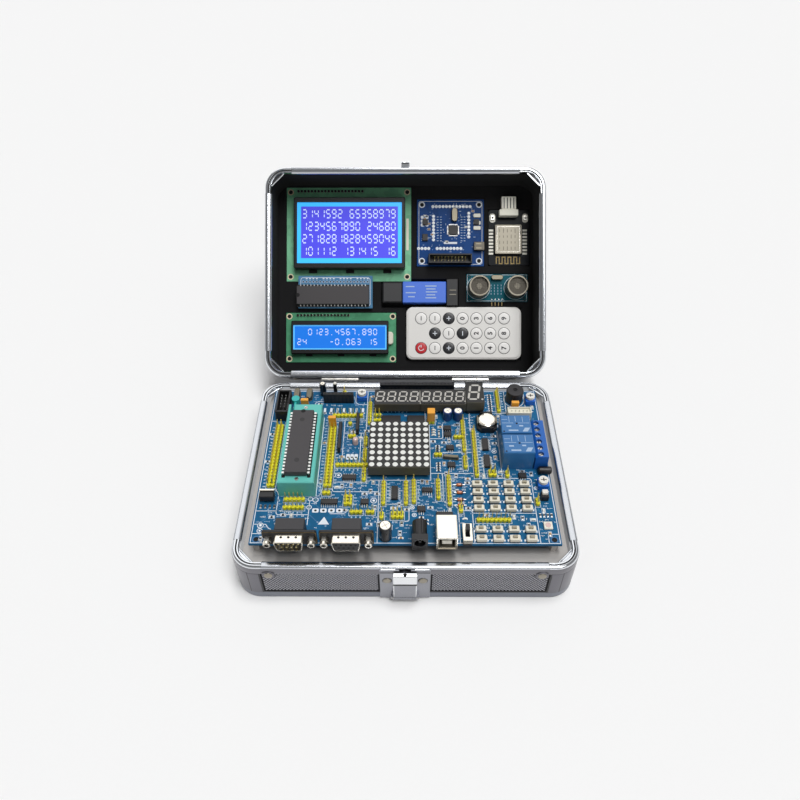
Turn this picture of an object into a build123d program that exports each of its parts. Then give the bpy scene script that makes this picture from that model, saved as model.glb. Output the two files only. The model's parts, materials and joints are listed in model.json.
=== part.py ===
from build123d import *
import os

# A microcontroller trainer board in a hinged aluminium carrying case. The base holds the board on
# pillars over a deck plate, and the open lid holds loose modules in a foam insert.
# All sizes are in millimetres. The origin is the centre of the base's underside: +X is to the
# right, +Y is towards the hinges and +Z is up.

# What the case has to hold: the main board in the base, and loose modules in the lid
board_width = 179.0
board_depth = 124.0
board_side_gap = 10.5      # least room from the board's side to the case's outer face
board_end_gap = 13.0       # the same at its front and back
graphic_width = 94.0
graphic_depth = 71.0
text_width = 83.0
text_depth = 37.4
adapter_width = 55.6
adapter_depth = 24.4
converter_size = 50.6
wifi_width = 31.0
wifi_depth = 42.0
sensor_width = 46.0
sensor_depth = 21.0
remote_width = 86.0
remote_depth = 39.4
programmer_length = 57.6
programmer_width = 21.0
graphic_side_gap = 6.6     # gaps from the lid's side walls
text_side_gap = 6.3
adapter_side_gap = 16.5
wifi_side_gap = 2.5
sensor_side_gap = 4.1
remote_side_gap = 9.4
graphic_back_gap = 1.3     # gaps from the lid's wall that is far from the hinges
converter_back_gap = 10.3
wifi_back_gap = 18.3
text_front_gap = 9.0       # gaps from the wall at the hinges
remote_front_gap = 10.9
converter_gap = 4.3        # gaps between neighbours
wifi_gap = 3.4
adapter_gap = 2.8
adapter_overlap = 3.5      # how far the adapter lies over the graphic display's edge
sensor_gap = 4.4
programmer_gap = 0.3
programmer_end_gap = 6.3

# Case
corner_radius = 15.0
base_height = 32.0
lid_height = 39.6
skin = 0.8                 # thickness of the metal trim that stands outside the panels
wall = 3.0                 # panel wall inside the trim
lid_row = graphic_side_gap + graphic_width + converter_gap + converter_size + wifi_gap + wifi_width
lid_column = text_front_gap + text_depth + adapter_gap + adapter_depth - adapter_overlap
case_width = max(
    board_width + 2 * board_side_gap,
    lid_row + wifi_side_gap + 2 * (skin + wall),
)
case_depth = max(
    board_depth + 2 * board_end_gap,
    lid_column + graphic_depth + graphic_back_gap + 2 * (skin + wall),
)
floor_thickness = 3.0
lid_panel = 1.2
rail_width = 5.0           # rim extrusion, from the outer face inwards
rail_cap = 3.0             # rim extrusion above the panel's top edge
rail_skirt = 6.4           # how far the rim extrusion hangs down outside
rail_lip = 4.6             # how far it hangs down inside
rail_rounding = 0.9
corner_rail_width = 4.4    # the bent corner piece is narrower than the rails
corner_rail_slope = 1.2    # flat slope along both top edges of the corner piece
corner_leg = 5.0           # straight run of the corner piece past its bend
column_leg = 8.0           # straight run of the corner column past its bend
gusset_leg = 15.0
gusset_thickness = 0.8
edging_height = 7.4
column_groove_width = 2.4
column_groove_depth = 0.35
seam = 0.1                 # gap between metal pieces that meet
ledge = 3.0                # rebate that carries the deck plate

# Hinges
opening_angle = 136.0      # the lid at rest, measured from closed
lid_gap = 0.8              # between the two rims when closed
hinge_spacing = 92.0
hinge_length = 26.0
knuckle_radius = 1.3
hinge_pin_radius = 0.6
hinge_clearance = 0.05
knuckle_gap = 0.2
leaf_thickness = 0.6
leaf_reach = 14.0
hinge_setback = 1.4        # from the case's back face to the pin's axis

# Latch
latch_plate_width = 29.0
latch_plate_thickness = 1.0
latch_width = 13.4
latch_pivot_height = 5.0
latch_slot = 1.1           # space behind the lever for the lid's tongue
latch_lever_thickness = 1.3
latch_pad_thickness = 2.6
latch_pad_height = 9.5
latch_pin_radius = 0.8
latch_clearance = 0.06
latch_lug = 1.5
tongue_width = 8.0
tongue_thickness = 0.6
tongue_reach = 4.0

# Deck and main board
deck_thickness = 1.2
deck_clearance = 0.25
board_thickness = 1.6
board_shift = 0.9          # the board sits a little behind the middle of the case
pillar_height = 6.0
pillar_radius = 3.0        # six-sided pillar, measured to its corners
board_hole_radius = 1.6
hole_inset = 4.0
deck_top = base_height - rail_lip - 0.2
board_top = deck_top + pillar_height + board_thickness

# Parts on the board
pitch = 2.54
header_height = 2.5
pin_width = 0.64
pin_rise = 5.8
socket_height = 8.5
zif_width = 22.0
zif_length = 64.6
zif_height = 13.5
zif_x = -65.0
zif_y = 4.0
groove_depth = 1.0
groove_width = 2.2
row_spacing = 15.24
chip_length = 52.2
chip_width = 13.8
chip_thickness = 3.9
chip_pins = 20
chip_standoff = 0.5
chip_leg_thickness = 0.3
chip_leg_width = 1.1
lever_x = -73.0
lever_slot = 2.6
lever_slot_length = 8.0
lever_pivot_height = 7.8
lever_rod_radius = 0.8
lever_hub_radius = 1.7
lever_knob_radius = 2.6
lever_knob_height = 3.6
lever_reach = 12.5
lever_clearance = 0.05
matrix_size = 37.7
matrix_thickness = 8.0
matrix_top = 11.2
matrix_x = -3.7
matrix_y = 4.2
display_length = 30.2
display_width = 14.0
display_thickness = 7.2
display_top = 9.8
digit_width = 12.0
digit_length = 19.0
digit_top = 11.5
relay_length = 19.0
relay_width = 15.2
relay_height = 15.6
terminal_pitch = 5.08
terminal_ways = 6
terminal_width = 8.0
terminal_height = 12.0
buzzer_radius = 5.8
buzzer_height = 10.0
cell_radius = 6.2
cell_seat = 2.6
key_width = 6.0
key_depth = 3.6
key_body_height = 3.5
plunger_width = 2.5
plunger_depth = 1.4
plunger_rise = 1.5
plunger_depth_below = 1.1
key_clearance = 0.06
key_travel = 0.25
trimmer_size = 6.6
trimmer_height = 4.4
dial_radius = 2.9
dial_height = 1.9
dial_gap = 0.15
switch_width = 5.6
switch_length = 12.0
switch_height = 5.4
knob_width = 2.4
knob_length = 4.0
knob_rise = 3.4
knob_travel = 2.6
knob_clearance = 0.06

# Lid modules
foam_thickness = 6.0
foam_gap = 0.3             # between the foam and the lid's walls
module_board = 1.6
module_hole_radius = 1.6
pocket_gap = 0.4           # all round a module in its foam pocket
pocket_depth = 2.0
graphic_height = 8.6       # above the module's board
text_height = 6.4
adapter_rise = 2.4         # the adapter's board stands on its strip of pins
programmer_sink = 4.0      # how deep a module lies below the foam's face
remote_sink = 3.0

# Places that follow from the sizes above
hinge_y = case_depth / 2 + hinge_setback
hinge_z = base_height + lid_gap / 2
lean = 180.0 - opening_angle
lid_place = Pos(0, hinge_y, hinge_z) * Rot(lean, 0, 0)
half_place = lid_place * Pos(0, hinge_y, -lid_gap / 2 - lid_height)
board_place = Pos(0, board_shift, board_top)
foam_top = lid_panel + foam_thickness
module_seat = foam_top - pocket_depth
half_room_x = case_width / 2 - skin - wall
half_room_y = case_depth / 2 - skin - wall

nodes = {}


def keep(name, solids, place=Pos(0, 0, 0)):
    """File one named node, made of one or more separate solids."""
    nodes[name] = [place * solid for solid in solids]


def block(width, depth, height, x=0.0, y=0.0, z=0.0):
    """A box that stands on its base centre."""
    shape = Box(width, depth, height, align=(Align.CENTER, Align.CENTER, Align.MIN))
    return Pos(x, y, z) * shape


def rod(radius, height, x=0.0, y=0.0, z=0.0):
    """An upright cylinder that stands on its base centre."""
    shape = Cylinder(radius, height, align=(Align.CENTER, Align.CENTER, Align.MIN))
    return Pos(x, y, z) * shape


def bar_x(radius, length, x=0.0, y=0.0, z=0.0):
    """A cylinder along X, centred."""
    return Pos(x, y, z) * Rot(0, 90, 0) * Cylinder(radius, length)


def bar_y(radius, length, x=0.0, y=0.0, z=0.0):
    """A cylinder along Y, centred."""
    return Pos(x, y, z) * Rot(90, 0, 0) * Cylinder(radius, length)


def plate(width, depth, height, radius, x=0.0, y=0.0, z=0.0):
    """A flat block with rounded upright corners."""
    return Pos(x, y, z) * extrude(RectangleRounded(width, depth, radius), height)


def clipped(width, depth, height, cut, x=0.0, y=0.0, z=0.0):
    """A flat block with its upright corners cut off."""
    face = chamfer(Rectangle(width, depth).vertices(), cut)
    return Pos(x, y, z) * extrude(face, height)


def prism(sides, radius, height, x=0.0, y=0.0, z=0.0):
    """An upright bar with flat sides, measured to its corners, that stands on its base centre."""
    return Pos(x, y, z) * extrude(RegularPolygon(radius, sides), height)


def outline(inset):
    """The case's plan, drawn in by an even inset."""
    return RectangleRounded(case_width - 2 * inset, case_depth - 2 * inset, corner_radius - inset)


def band(inset_out, inset_in, low, high):
    """A closed band that follows the case's plan between two insets."""
    return Pos(0, 0, low) * extrude(outline(inset_out) - outline(inset_in), high - low)


def four_corners():
    """The four corner signs, as (x, y)."""
    return [(-1, -1), (1, -1), (1, 1), (-1, 1)]


# Case halves: each is drawn with its rim upwards and its underside at zero
def shell(height, panel, ledge_top=None):
    """Panels of one half: floor and walls, with a rebate for the deck where asked."""
    top = height - rail_cap - seam
    body = extrude(outline(skin), top)
    body -= Pos(0, 0, panel) * extrude(outline(skin + wall), top)
    if ledge_top is not None:
        body += band(skin + wall, skin + wall + ledge, panel, ledge_top)
    return body


def rail_profile(width, lip=0.0):
    """Section of the rim extrusion, from the outer face inwards, with its top at zero."""
    top = Pos(width / 2, -rail_cap / 2) * Rectangle(width, rail_cap)
    skirt = Pos(skin / 2, -rail_skirt / 2) * Rectangle(skin, rail_skirt)
    face = top + skirt
    if lip > 0:
        lip_width = width - skin - wall - seam
        face += Pos(width - lip_width / 2, -lip / 2) * Rectangle(lip_width, lip)
    return face


def top_corners(face):
    """The two top corners of a rim section."""
    return face.vertices().group_by(Axis.Y)[-1]


def rails(height):
    """The four straight rim extrusions."""
    bend = corner_radius + corner_leg + seam
    runs = [
        (case_width - 2 * bend, case_depth / 2, 0),
        (case_depth - 2 * bend, case_width / 2, 90),
        (case_width - 2 * bend, case_depth / 2, 180),
        (case_depth - 2 * bend, case_width / 2, 270),
    ]
    section = rail_profile(rail_width, rail_lip)
    rounded = fillet(top_corners(section), rail_rounding)
    solids = []
    for length, offset, turn in runs:
        # the section's first axis points inwards and its second points up
        plane = Plane(origin=(-length / 2, -offset, height), x_dir=(0, 1, 0), z_dir=(1, 0, 0))
        run = extrude(plane * rounded, length)
        solids.append(Rot(0, 0, turn) * run)
    return solids


def corner_piece(height):
    """One rim corner, front left: a bent rail with a flat gusset across its inside."""
    left = -case_width / 2
    front = -case_depth / 2
    centre_x = left + corner_radius
    centre_y = front + corner_radius
    section = rail_profile(corner_rail_width)
    profile = chamfer(top_corners(section), corner_rail_slope)
    start = Plane(origin=(left, centre_y, height), x_dir=(1, 0, 0), z_dir=(0, -1, 0))
    bend = revolve(start * profile, Axis((centre_x, centre_y, 0), (0, 0, 1)), 90)
    leg_y = extrude(start * profile, -corner_leg)
    turned = Plane(origin=(centre_x, front, height), x_dir=(0, 1, 0), z_dir=(1, 0, 0))
    leg_x = extrude(turned * profile, corner_leg)
    inner = rail_rounding + skin
    triangle = make_face(
        Polyline(
            (left + inner, front + inner),
            (left + corner_rail_width + gusset_leg, front + inner),
            (left + corner_rail_width + gusset_leg, front + corner_rail_width),
            (left + corner_rail_width, front + corner_rail_width + gusset_leg),
            (left + inner, front + corner_rail_width + gusset_leg),
            close=True,
        )
    )
    gusset = extrude(triangle & outline(inner), gusset_thickness)
    return bend + leg_x + leg_y + Pos(0, 0, height - rail_cap) * gusset


def mirrored_corners(piece):
    """The front left piece and its three mirror images."""
    solids = []
    for x, y in four_corners():
        copy = piece
        if x > 0:
            copy = mirror(copy, Plane.YZ)
        if y > 0:
            copy = mirror(copy, Plane.XZ)
        solids.append(copy)
    return solids


def corner_column(height):
    """One upright corner cover, front left, with two pressed grooves."""
    low = edging_height + seam
    high = height - rail_skirt - seam
    reach = corner_radius + column_leg
    zone = block(reach, reach, height, -case_width / 2 + reach / 2, -case_depth / 2 + reach / 2)
    column = band(0, skin, low, high) & zone
    groove = block(column_groove_width, 2 * column_groove_depth, high - low - 4.0)
    at = corner_radius + column_leg / 4
    column -= Pos(-case_width / 2 + at, -case_depth / 2, low + 2.0) * groove
    column -= Pos(-case_width / 2, -case_depth / 2 + at, low + 2.0) * Rot(0, 0, 90) * groove
    return column


def edging():
    """The bottom strip, one bent length round the whole half."""
    strip = band(0, skin, 0, edging_height)
    return strip


def half_frame(height):
    """All the metal trim of one half."""
    solids = [edging()]
    solids += rails(height)
    solids += mirrored_corners(corner_piece(height))
    solids += mirrored_corners(corner_column(height))
    return solids


def hinge_leaf(count_from, knuckle_count=3):
    """A hinge leaf with every second knuckle: the pin is at zero and the leaf hangs down."""
    length = (hinge_length - knuckle_gap * (knuckle_count - 1)) / knuckle_count
    top = -knuckle_radius - knuckle_gap
    middle = -hinge_setback + leaf_thickness / 2
    leaf = block(hinge_length, leaf_thickness, leaf_reach, 0, middle, top - leaf_reach)
    for index in range(count_from, knuckle_count, 2):
        x = -hinge_length / 2 + length / 2 + index * (length + knuckle_gap)
        leaf += bar_x(knuckle_radius, length, x)
        leaf += block(length, leaf_thickness, -top, x, middle, top)
    return leaf


def base_leaf():
    """The base's leaf with two knuckles, and the pin that is pressed into them."""
    return hinge_leaf(0) + bar_x(hinge_pin_radius, hinge_length)


def lid_leaf():
    """The lid's leaf with the middle knuckle, bored for the pin."""
    return hinge_leaf(1) - bar_x(hinge_pin_radius + hinge_clearance, hinge_length)


hinge_places = [-hinge_spacing / 2, hinge_spacing / 2]


def latch_plate():
    """The riveted plate on the front, with two lugs for the lever."""
    face = -case_depth / 2
    height = base_height - 1.2 - latch_pivot_height + 3.5
    body = block(latch_plate_width, latch_plate_thickness, height)
    body = Pos(0, face - latch_plate_thickness / 2, latch_pivot_height - 3.5) * body
    pivot_y = face - latch_plate_thickness - latch_slot - latch_lever_thickness / 2
    for side in (-1, 1):
        x = side * (latch_width / 2 + latch_clearance + latch_lug / 2)
        depth = face - latch_plate_thickness - pivot_y
        body += block(latch_lug, depth + 1.4, 3.0, x, pivot_y + depth / 2 - 0.7, latch_pivot_height - 1.5)
    pin_length = latch_width + 2 * latch_clearance + 2 * latch_lug
    body += bar_x(latch_pin_radius, pin_length, 0, pivot_y, latch_pivot_height)
    # arched cut at the top, over the lever
    body -= bar_y(3.0, 6.0, 0, face - latch_plate_thickness, base_height - 1.2)
    return body


def latch_lever():
    """The flap that swings out and down, with a thick bright pad at its top."""
    pivot_y = -case_depth / 2 - latch_plate_thickness - latch_slot - latch_lever_thickness / 2
    inner = pivot_y + latch_lever_thickness / 2
    outer = inner - latch_lever_thickness
    pad_outer = inner - latch_pad_thickness
    top = base_height - 1.6
    pad_low = top - latch_pad_height
    corners = [
        (inner, latch_pivot_height),
        (outer, latch_pivot_height),
        (outer, pad_low),
        (pad_outer, pad_low + 0.8),
        (pad_outer, top - 1.4),
        (pad_outer + 1.2, top),
        (inner, top),
    ]
    section = Plane.YZ * make_face(Polyline(*corners, close=True))
    body = Pos(-latch_width / 2, 0, 0) * extrude(section, latch_width)
    body += bar_x(1.5, latch_width, 0, pivot_y, latch_pivot_height)
    bore = bar_x(latch_pin_radius + latch_clearance, latch_width + 1, 0, pivot_y, latch_pivot_height)
    return body - bore


def lid_tongue():
    """The strike on the lid's front edge, which slides behind the latch lever."""
    front = case_depth / 2
    slot_middle = front + latch_plate_thickness + latch_slot / 2
    root_depth = slot_middle + tongue_thickness / 2 - front
    root = block(tongue_width, root_depth, 5.0, 0, front + root_depth / 2, lid_height - 5.4)
    blade = block(tongue_width, tongue_thickness, tongue_reach + 2.0)
    return root + Pos(0, slot_middle, lid_height - 1.2) * blade


# Base
keep("base_shell", [shell(base_height, floor_thickness, deck_top - deck_thickness)])
base_trim = half_frame(base_height)
base_trim.append(latch_plate())
for x in hinge_places:
    base_trim.append(Pos(x, hinge_y, hinge_z) * base_leaf())
keep("base_frame", base_trim)
keep("latch_lever", [latch_lever()])

hole_places = [
    (x * (board_width / 2 - hole_inset), y * (board_depth / 2 - hole_inset + 0.8))
    for x, y in four_corners()
]
deck = Pos(0, 0, deck_top - deck_thickness) * extrude(
    outline(skin + wall + deck_clearance), deck_thickness
)
for x, y in hole_places:
    deck += prism(6, pillar_radius, pillar_height, x, y + board_shift, deck_top)
keep("deck_plate", [deck])

board = block(board_width, board_depth, board_thickness, 0, 0, -board_thickness)
for x, y in hole_places:
    board -= rod(board_hole_radius, board_thickness, x, y, -board_thickness)
keep("main_board", [board], board_place)

# Chip socket with its lever, and the microcontroller in it
pivot_y = zif_y + zif_length / 2 - lever_slot_length / 2 - 0.6
socket = block(zif_width, zif_length, zif_height, zif_x, zif_y)
socket = chamfer(socket.faces().sort_by(Axis.Z)[-1].edges(), 0.6)
for side in (-1, 1):
    x = zif_x + side * row_spacing / 2
    socket -= block(groove_width, chip_length, groove_depth, x, zif_y - 2.6, zif_height - groove_depth)
slot_y = zif_y + zif_length / 2 - lever_slot_length / 2
socket -= block(lever_slot, lever_slot_length, zif_height, lever_x, slot_y, 4.0)
socket += bar_x(lever_rod_radius, lever_slot + 1, lever_x, pivot_y, lever_pivot_height)
keep("zif_socket", [socket], board_place)

lever = bar_x(lever_hub_radius, lever_slot - 0.3, lever_x, pivot_y, lever_pivot_height)
lever += bar_y(lever_rod_radius, lever_reach, lever_x, pivot_y + lever_reach / 2, lever_pivot_height)
knob_low = lever_pivot_height - lever_knob_height / 2
lever += rod(lever_knob_radius, lever_knob_height, lever_x, pivot_y + lever_reach + 1.0, knob_low)
lever -= bar_x(lever_rod_radius + lever_clearance, lever_slot, lever_x, pivot_y, lever_pivot_height)
keep("zif_lever", [lever], board_place)

chip_bottom = zif_height + chip_standoff
chip_y = zif_y - 2.6
chip = block(chip_width, chip_length - 1.2, chip_thickness, zif_x, chip_y, chip_bottom)
chip -= rod(1.5, 1.0, zif_x, chip_y + chip_length / 2 - 0.6, chip_bottom + chip_thickness - 1.0)
leg_bottom = zif_height - groove_depth
leg_height = chip_bottom + chip_thickness / 2 - leg_bottom
leg_reach = (row_spacing - chip_width) / 2 + chip_leg_thickness
leg_section = Sketch() + GridLocations(0, pitch, 1, chip_pins) * Rectangle(leg_reach, chip_leg_width)
for side in (-1, 1):
    leg_x = zif_x + side * (chip_width + leg_reach) / 2
    chip += Pos(leg_x, chip_y, leg_bottom) * extrude(leg_section, leg_height)
keep("microcontroller", [chip], board_place)


# Pin headers: columns along X and rows along Y
def pin_grid(columns, rows, height, x, y, z):
    """Square pins at the standard pitch, about the point (x, y)."""
    section = GridLocations(pitch, pitch, columns, rows) * Rectangle(pin_width, pin_width)
    return Pos(x, y, z) * extrude(Sketch() + section, height)


def header(x, y, columns, rows):
    """A pin header: the moulded strip and its square pins."""
    strip = block(columns * pitch, rows * pitch, header_height, x, y)
    return strip + pin_grid(columns, rows, pin_rise, x, y, header_height)


header_places = [
    (-82.0, 3.2, 2, 20),
    (-47.4, 3.2, 2, 20),
    (-47.6, -26.6, 2, 1),
    (-66.3, -31.5, 5, 1),
    (-66.3, -37.4, 5, 1),
    (-41.6, 56.5, 1, 3),
    (-38.2, 37.3, 8, 1),
    (-23.5, 39.5, 1, 8),
    (-18.4, 37.5, 2, 1),
    (-18.4, 33.0, 2, 1),
    (-36.2, 30.0, 1, 1),
    (-34.5, 19.0, 2, 1),
    (-25.4, 14.6, 1, 3),
    (-25.4, 3.2, 1, 4),
    (-25.4, -12.6, 1, 4),
    (-33.4, -4.9, 8, 1),
    (-13.1, -26.6, 1, 7),
    (0.5, -26.6, 1, 7),
    (5.2, -25.4, 1, 7),
    (20.0, -23.8, 1, 6),
    (26.6, -24.4, 1, 9),
    (-34.2, -32.0, 2, 3),
    (-29.0, -40.6, 3, 1),
    (-20.6, -40.6, 2, 1),
    (-13.8, -43.2, 1, 2),
    (-4.6, -42.7, 3, 2),
    (33.0, -38.2, 1, 2),
    (51.8, -46.0, 8, 1),
    (20.8, 3.5, 2, 1),
    (37.7, 26.6, 1, 5),
    (35.0, 18.4, 3, 1),
    (37.7, 11.0, 1, 4),
    (37.7, -2.6, 1, 4),
    (44.3, 4.8, 1, 15),
    (53.9, -11.4, 2, 2),
    (63.0, -12.2, 1, 2),
    (62.7, 50.5, 1, 8),
    (79.0, -33.0, 1, 2),
    (17.0, 33.0, 2, 2),
]
keep("pin_headers", [header(*place) for place in header_places], board_place)


def female_strip(x, y, columns, rows, height):
    """A female header's moulded strip."""
    return block(columns * pitch, rows * pitch, height, x, y)


def box_header(x, y, columns, rows):
    """A shrouded header with an open box and pins inside."""
    width = columns * pitch + 3.8
    depth = rows * pitch + 7.6
    body = block(width, depth, 9.0, x, y)
    body -= block(width - 2.4, depth - 2.4, 6.6, x, y, 2.4)
    body -= block(1.4, 4.4, 6.0, x + width / 2 - 0.6, y, 3.0)
    return body + pin_grid(columns, rows, 6.0, x, y, 2.4)


def resistor_network(x, y, ways):
    """A single in line resistor network, standing along Y."""
    return block(2.0, ways * pitch, 6.0, x, y)


strips = [
    female_strip(8.1, 60.2, 20, 1, socket_height),
    female_strip(-45.0, 51.0, 8, 1, socket_height),
    box_header(-81.2, 43.6, 2, 5),
    resistor_network(-31.0, 28.2, 6),
    resistor_network(-42.0, 16.5, 9),
]
keep("socket_strips", strips, board_place)


# Soldered parts: small outline chips, crystals, capacitors, transistor, diode and cable socket
def small_chip(x, y, length, width, turn=0, height=1.9):
    """The moulded body of a surface mounted chip."""
    return Pos(x, y, 0) * Rot(0, 0, turn) * block(length, width, height)


def crystal_can(x, y, length, width, height, turn=0):
    """A flat sided crystal can with drawn-in ends."""
    return Pos(x, y, 0) * Rot(0, 0, turn) * clipped(length, width, height, width * 0.3)


def power_transistor(x, y):
    """An upright transistor: a moulded body with its metal tab above."""
    body = block(9.0, 4.2, 4.4, x, y, 2.0)
    tab = block(9.0, 1.3, 6.2, x, y + 2.75, 1.0)
    legs = block(6.0, 1.0, 2.0, x, y)
    return body + tab + legs


soldered = [
    small_chip(-34.4, -14.5, 8.7, 3.9),
    small_chip(-45.4, -33.0, 10.2, 4.0),
    small_chip(-24.2, -33.0, 5.0, 4.0),
    small_chip(-6.3, -26.4, 4.0, 10.0),
    small_chip(13.4, -24.3, 6.5, 3.5),
    small_chip(9.6, -38.2, 5.0, 4.0),
    small_chip(23.2, -42.3, 9.9, 3.9),
    small_chip(28.7, 9.5, 5.0, 4.0),
    small_chip(29.0, -4.6, 5.0, 4.0),
    small_chip(27.6, 26.2, 5.0, 4.0),
    small_chip(27.6, 20.8, 5.0, 4.0),
    small_chip(51.3, 12.3, 4.0, 10.0),
    small_chip(51.4, -1.6, 4.0, 10.0),
    small_chip(72.3, -13.0, 5.0, 4.0),
    small_chip(-9.3, 33.0, 12.8, 7.5, 0, 2.4),
    small_chip(7.2, 33.0, 11.6, 7.5, 0, 2.4),
    crystal_can(-74.0, 56.6, 10.0, 4.6, 3.6, 90),
    crystal_can(-65.5, 56.6, 10.0, 4.6, 3.6, 90),
    crystal_can(28.8, 1.6, 10.6, 3.0, 2.6, -6),
    rod(2.2, 11.0, -56.0, 58.0),
    rod(3.7, 12.0, -11.2, -57.2),
    rod(3.1, 7.6, 28.0, 36.0),
    rod(3.1, 7.6, 34.9, 36.0),
    power_transistor(-82.4, -31.6),
    block(2.4, 2.4, 12.0, -47.5, 57.5),
    bar_x(2.4, 8.4, 86.2, -10.0, 2.6),
    rod(1.9, 5.0, -32.0, 14.0),
    block(5.0, 5.0, 1.6, 83.0, -49.6),
    clipped(4.6, 4.6, 6.0, 0.6, 83.5, -29.4),
    block(2.5, 2.5, 8.5, 73.2, 43.2),
    block(5.0, 2.5, 8.0, -67.4, 46.0),
]
fan_plug = block(15.7, 5.8, 7.0, 75.5, 37.2) - block(14.1, 4.2, 5.4, 75.5, 37.2, 1.6)
for index in range(5):
    fan_plug += block(pin_width, pin_width, 4.2, 75.5 + (index - 2) * 2.5, 37.2, 1.6)
soldered.append(fan_plug)
keep("soldered_parts", soldered, board_place)

# Displays
display_shapes = []
for x in (-5.3, 25.1):
    body_z = display_top - display_thickness
    display_shapes.append(block(display_length, display_width, display_thickness, x, 46.7, body_z))
    for y in (46.7 - 5.5, 46.7 + 5.5):
        display_shapes.append(block(6 * pitch, 1.2, body_z, x, y))
digit_y = 49.2
display_shapes.append(block(digit_width, digit_length, digit_top - 3.5, 46.4, digit_y, 3.5))
display_shapes.append(block(digit_width - 0.8, digit_length - 1.0, 3.5, 46.4, digit_y))
keep("digit_displays", display_shapes, board_place)

matrix_bottom = matrix_top - matrix_thickness
matrix = block(matrix_size, matrix_size, matrix_thickness, matrix_x, matrix_y, matrix_bottom)
matrix_solids = [matrix]
for y in (matrix_y - 12.0, matrix_y + 12.0):
    matrix_solids.append(block(8 * pitch, pitch, matrix_bottom, matrix_x, y))
keep("led_matrix", matrix_solids, board_place)

# Relays, terminal block, buzzer and cell
relay_solids = []
for y in (17.0, 0.7):
    relay = block(relay_length, relay_width, relay_height, 69.8, y)
    relay_solids.append(chamfer(relay.faces().sort_by(Axis.Z)[-1].edges(), 0.5))
keep("relays", relay_solids, board_place)

terminal_x = board_width / 2 - 5.5
terminal_y = 8.0
terminal = block(terminal_width, terminal_ways * terminal_pitch, terminal_height)
for index in range(terminal_ways):
    y = (index - (terminal_ways - 1) / 2) * terminal_pitch
    terminal -= prism(8, 1.9, 3.0, -0.6, y, terminal_height - 3.0)
    terminal -= block(5.0, 3.8, 4.6, terminal_width / 2 - 1.5, y, 1.4)
terminal -= Pos(-terminal_width / 2, 0, terminal_height) * Rot(0, 45, 0) * Box(
    2.4, terminal_ways * terminal_pitch + 1, 2.4
)
keep("terminal_block", [terminal], board_place * Pos(terminal_x, terminal_y, 0))

buzzer = rod(buzzer_radius, buzzer_height, 74.0, 53.2)
buzzer -= rod(1.1, 2.0, 74.0, 53.2, buzzer_height - 2.0)
keep("buzzer", [buzzer], board_place)

cell_holder = block(13.2, 15.0, cell_seat, 53.5, 30.3)
for side in (-1, 1):
    cell_holder += block(13.2, 1.2, 5.0, 53.5, 30.3 + side * 6.9)
cell = rod(cell_radius, 3.2, 53.5, 30.3, cell_seat)
keep("coin_cell_holder", [cell_holder, cell], board_place)

# Connectors on the front edge
edge = -board_depth / 2


def usb_socket():
    """A square data socket: a metal shell round a moulded tongue."""
    shell_width = 12.0
    shell_height = 11.0
    depth = 16.0
    mouth_width = 8.6
    mouth_height = 7.9
    body = block(shell_width, depth, shell_height)
    mouth = Plane.XZ.offset(depth / 2) * make_face(
        Polyline(
            (-mouth_width / 2, -mouth_height / 2),
            (mouth_width / 2, -mouth_height / 2),
            (mouth_width / 2, mouth_height / 2 - 1.6),
            (mouth_width / 2 - 1.6, mouth_height / 2),
            (-mouth_width / 2 + 1.6, mouth_height / 2),
            (-mouth_width / 2, mouth_height / 2 - 1.6),
            close=True,
        )
    )
    body -= Pos(0, 0, shell_height / 2) * extrude(mouth, -9.0)
    body += block(5.6, 8.0, 3.2, 0, -depth / 2 + 5.5, shell_height / 2 - 1.6)
    return body


keep("usb_socket", [usb_socket()], board_place * Pos(23.6, edge + 4.7, 0))


def power_jack():
    """A barrel jack: a square front with a round barrel behind it."""
    depth = 14.0
    body = block(9.0, 3.6, 10.8, 0, -depth / 2 + 1.8)
    body += bar_y(4.2, depth - 3.6, 0, 1.8, 6.4)
    body += block(8.4, depth - 3.6, 6.4, 0, 1.8)
    body -= bar_y(3.2, 9.0, 0, -depth / 2 + 4.5, 6.4)
    body += Pos(0, -depth / 2 + 10.0, 6.4) * Rot(90, 0, 0) * prism(6, 1.0, 9.0)
    return body


keep("power_jack", [power_jack()], board_place * Pos(8.3, edge + 3.5, 0))


def d_shape(width, height):
    """The face of a serial connector: a trapezium, wider at the top, with its corners cut."""
    slope = height * 0.18
    face = make_face(
        Polyline(
            (-width / 2 + slope, -height / 2),
            (width / 2 - slope, -height / 2),
            (width / 2, height / 2),
            (-width / 2, height / 2),
            close=True,
        )
    )
    return chamfer(face.vertices(), 1.2)


def serial_port(pins):
    """A right angled serial port: flange, D shell, jackscrews and moulded housing."""
    centre = 6.25
    housing = block(16.6, 8.0, 12.5, 0, 4.6)
    body = housing + block(30.8, 1.6, 12.5, 0, -0.2)
    front = Plane.XZ.offset(1.0)
    nose = Pos(0, 0, centre) * extrude(front * d_shape(17.0, 8.6), 5.8)
    body += nose
    if pins:
        hollow = Pos(0, 0, centre) * extrude(front * d_shape(16.0, 7.6), 5.8)
        body -= hollow
        for row, count in ((1.4, 5), (-1.4, 4)):
            for index in range(count):
                x = (index - (count - 1) / 2) * 2.76
                body += block(0.9, 5.0, 0.9, x, -3.4, centre + row - 0.45)
    for side in (-1, 1):
        body += Pos(side * 12.5, -0.5, centre) * Rot(90, 0, 0) * prism(6, 2.6, 5.4)
        body += block(3.0, 6.0, 1.6, side * 12.5, 3.4)
    return body


port_y = edge + 0.8
ports = [
    Pos(-65.1, port_y, 0) * serial_port(True),
    Pos(-33.0, port_y, 0) * serial_port(False),
]
keep("serial_ports", ports, board_place)

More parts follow.
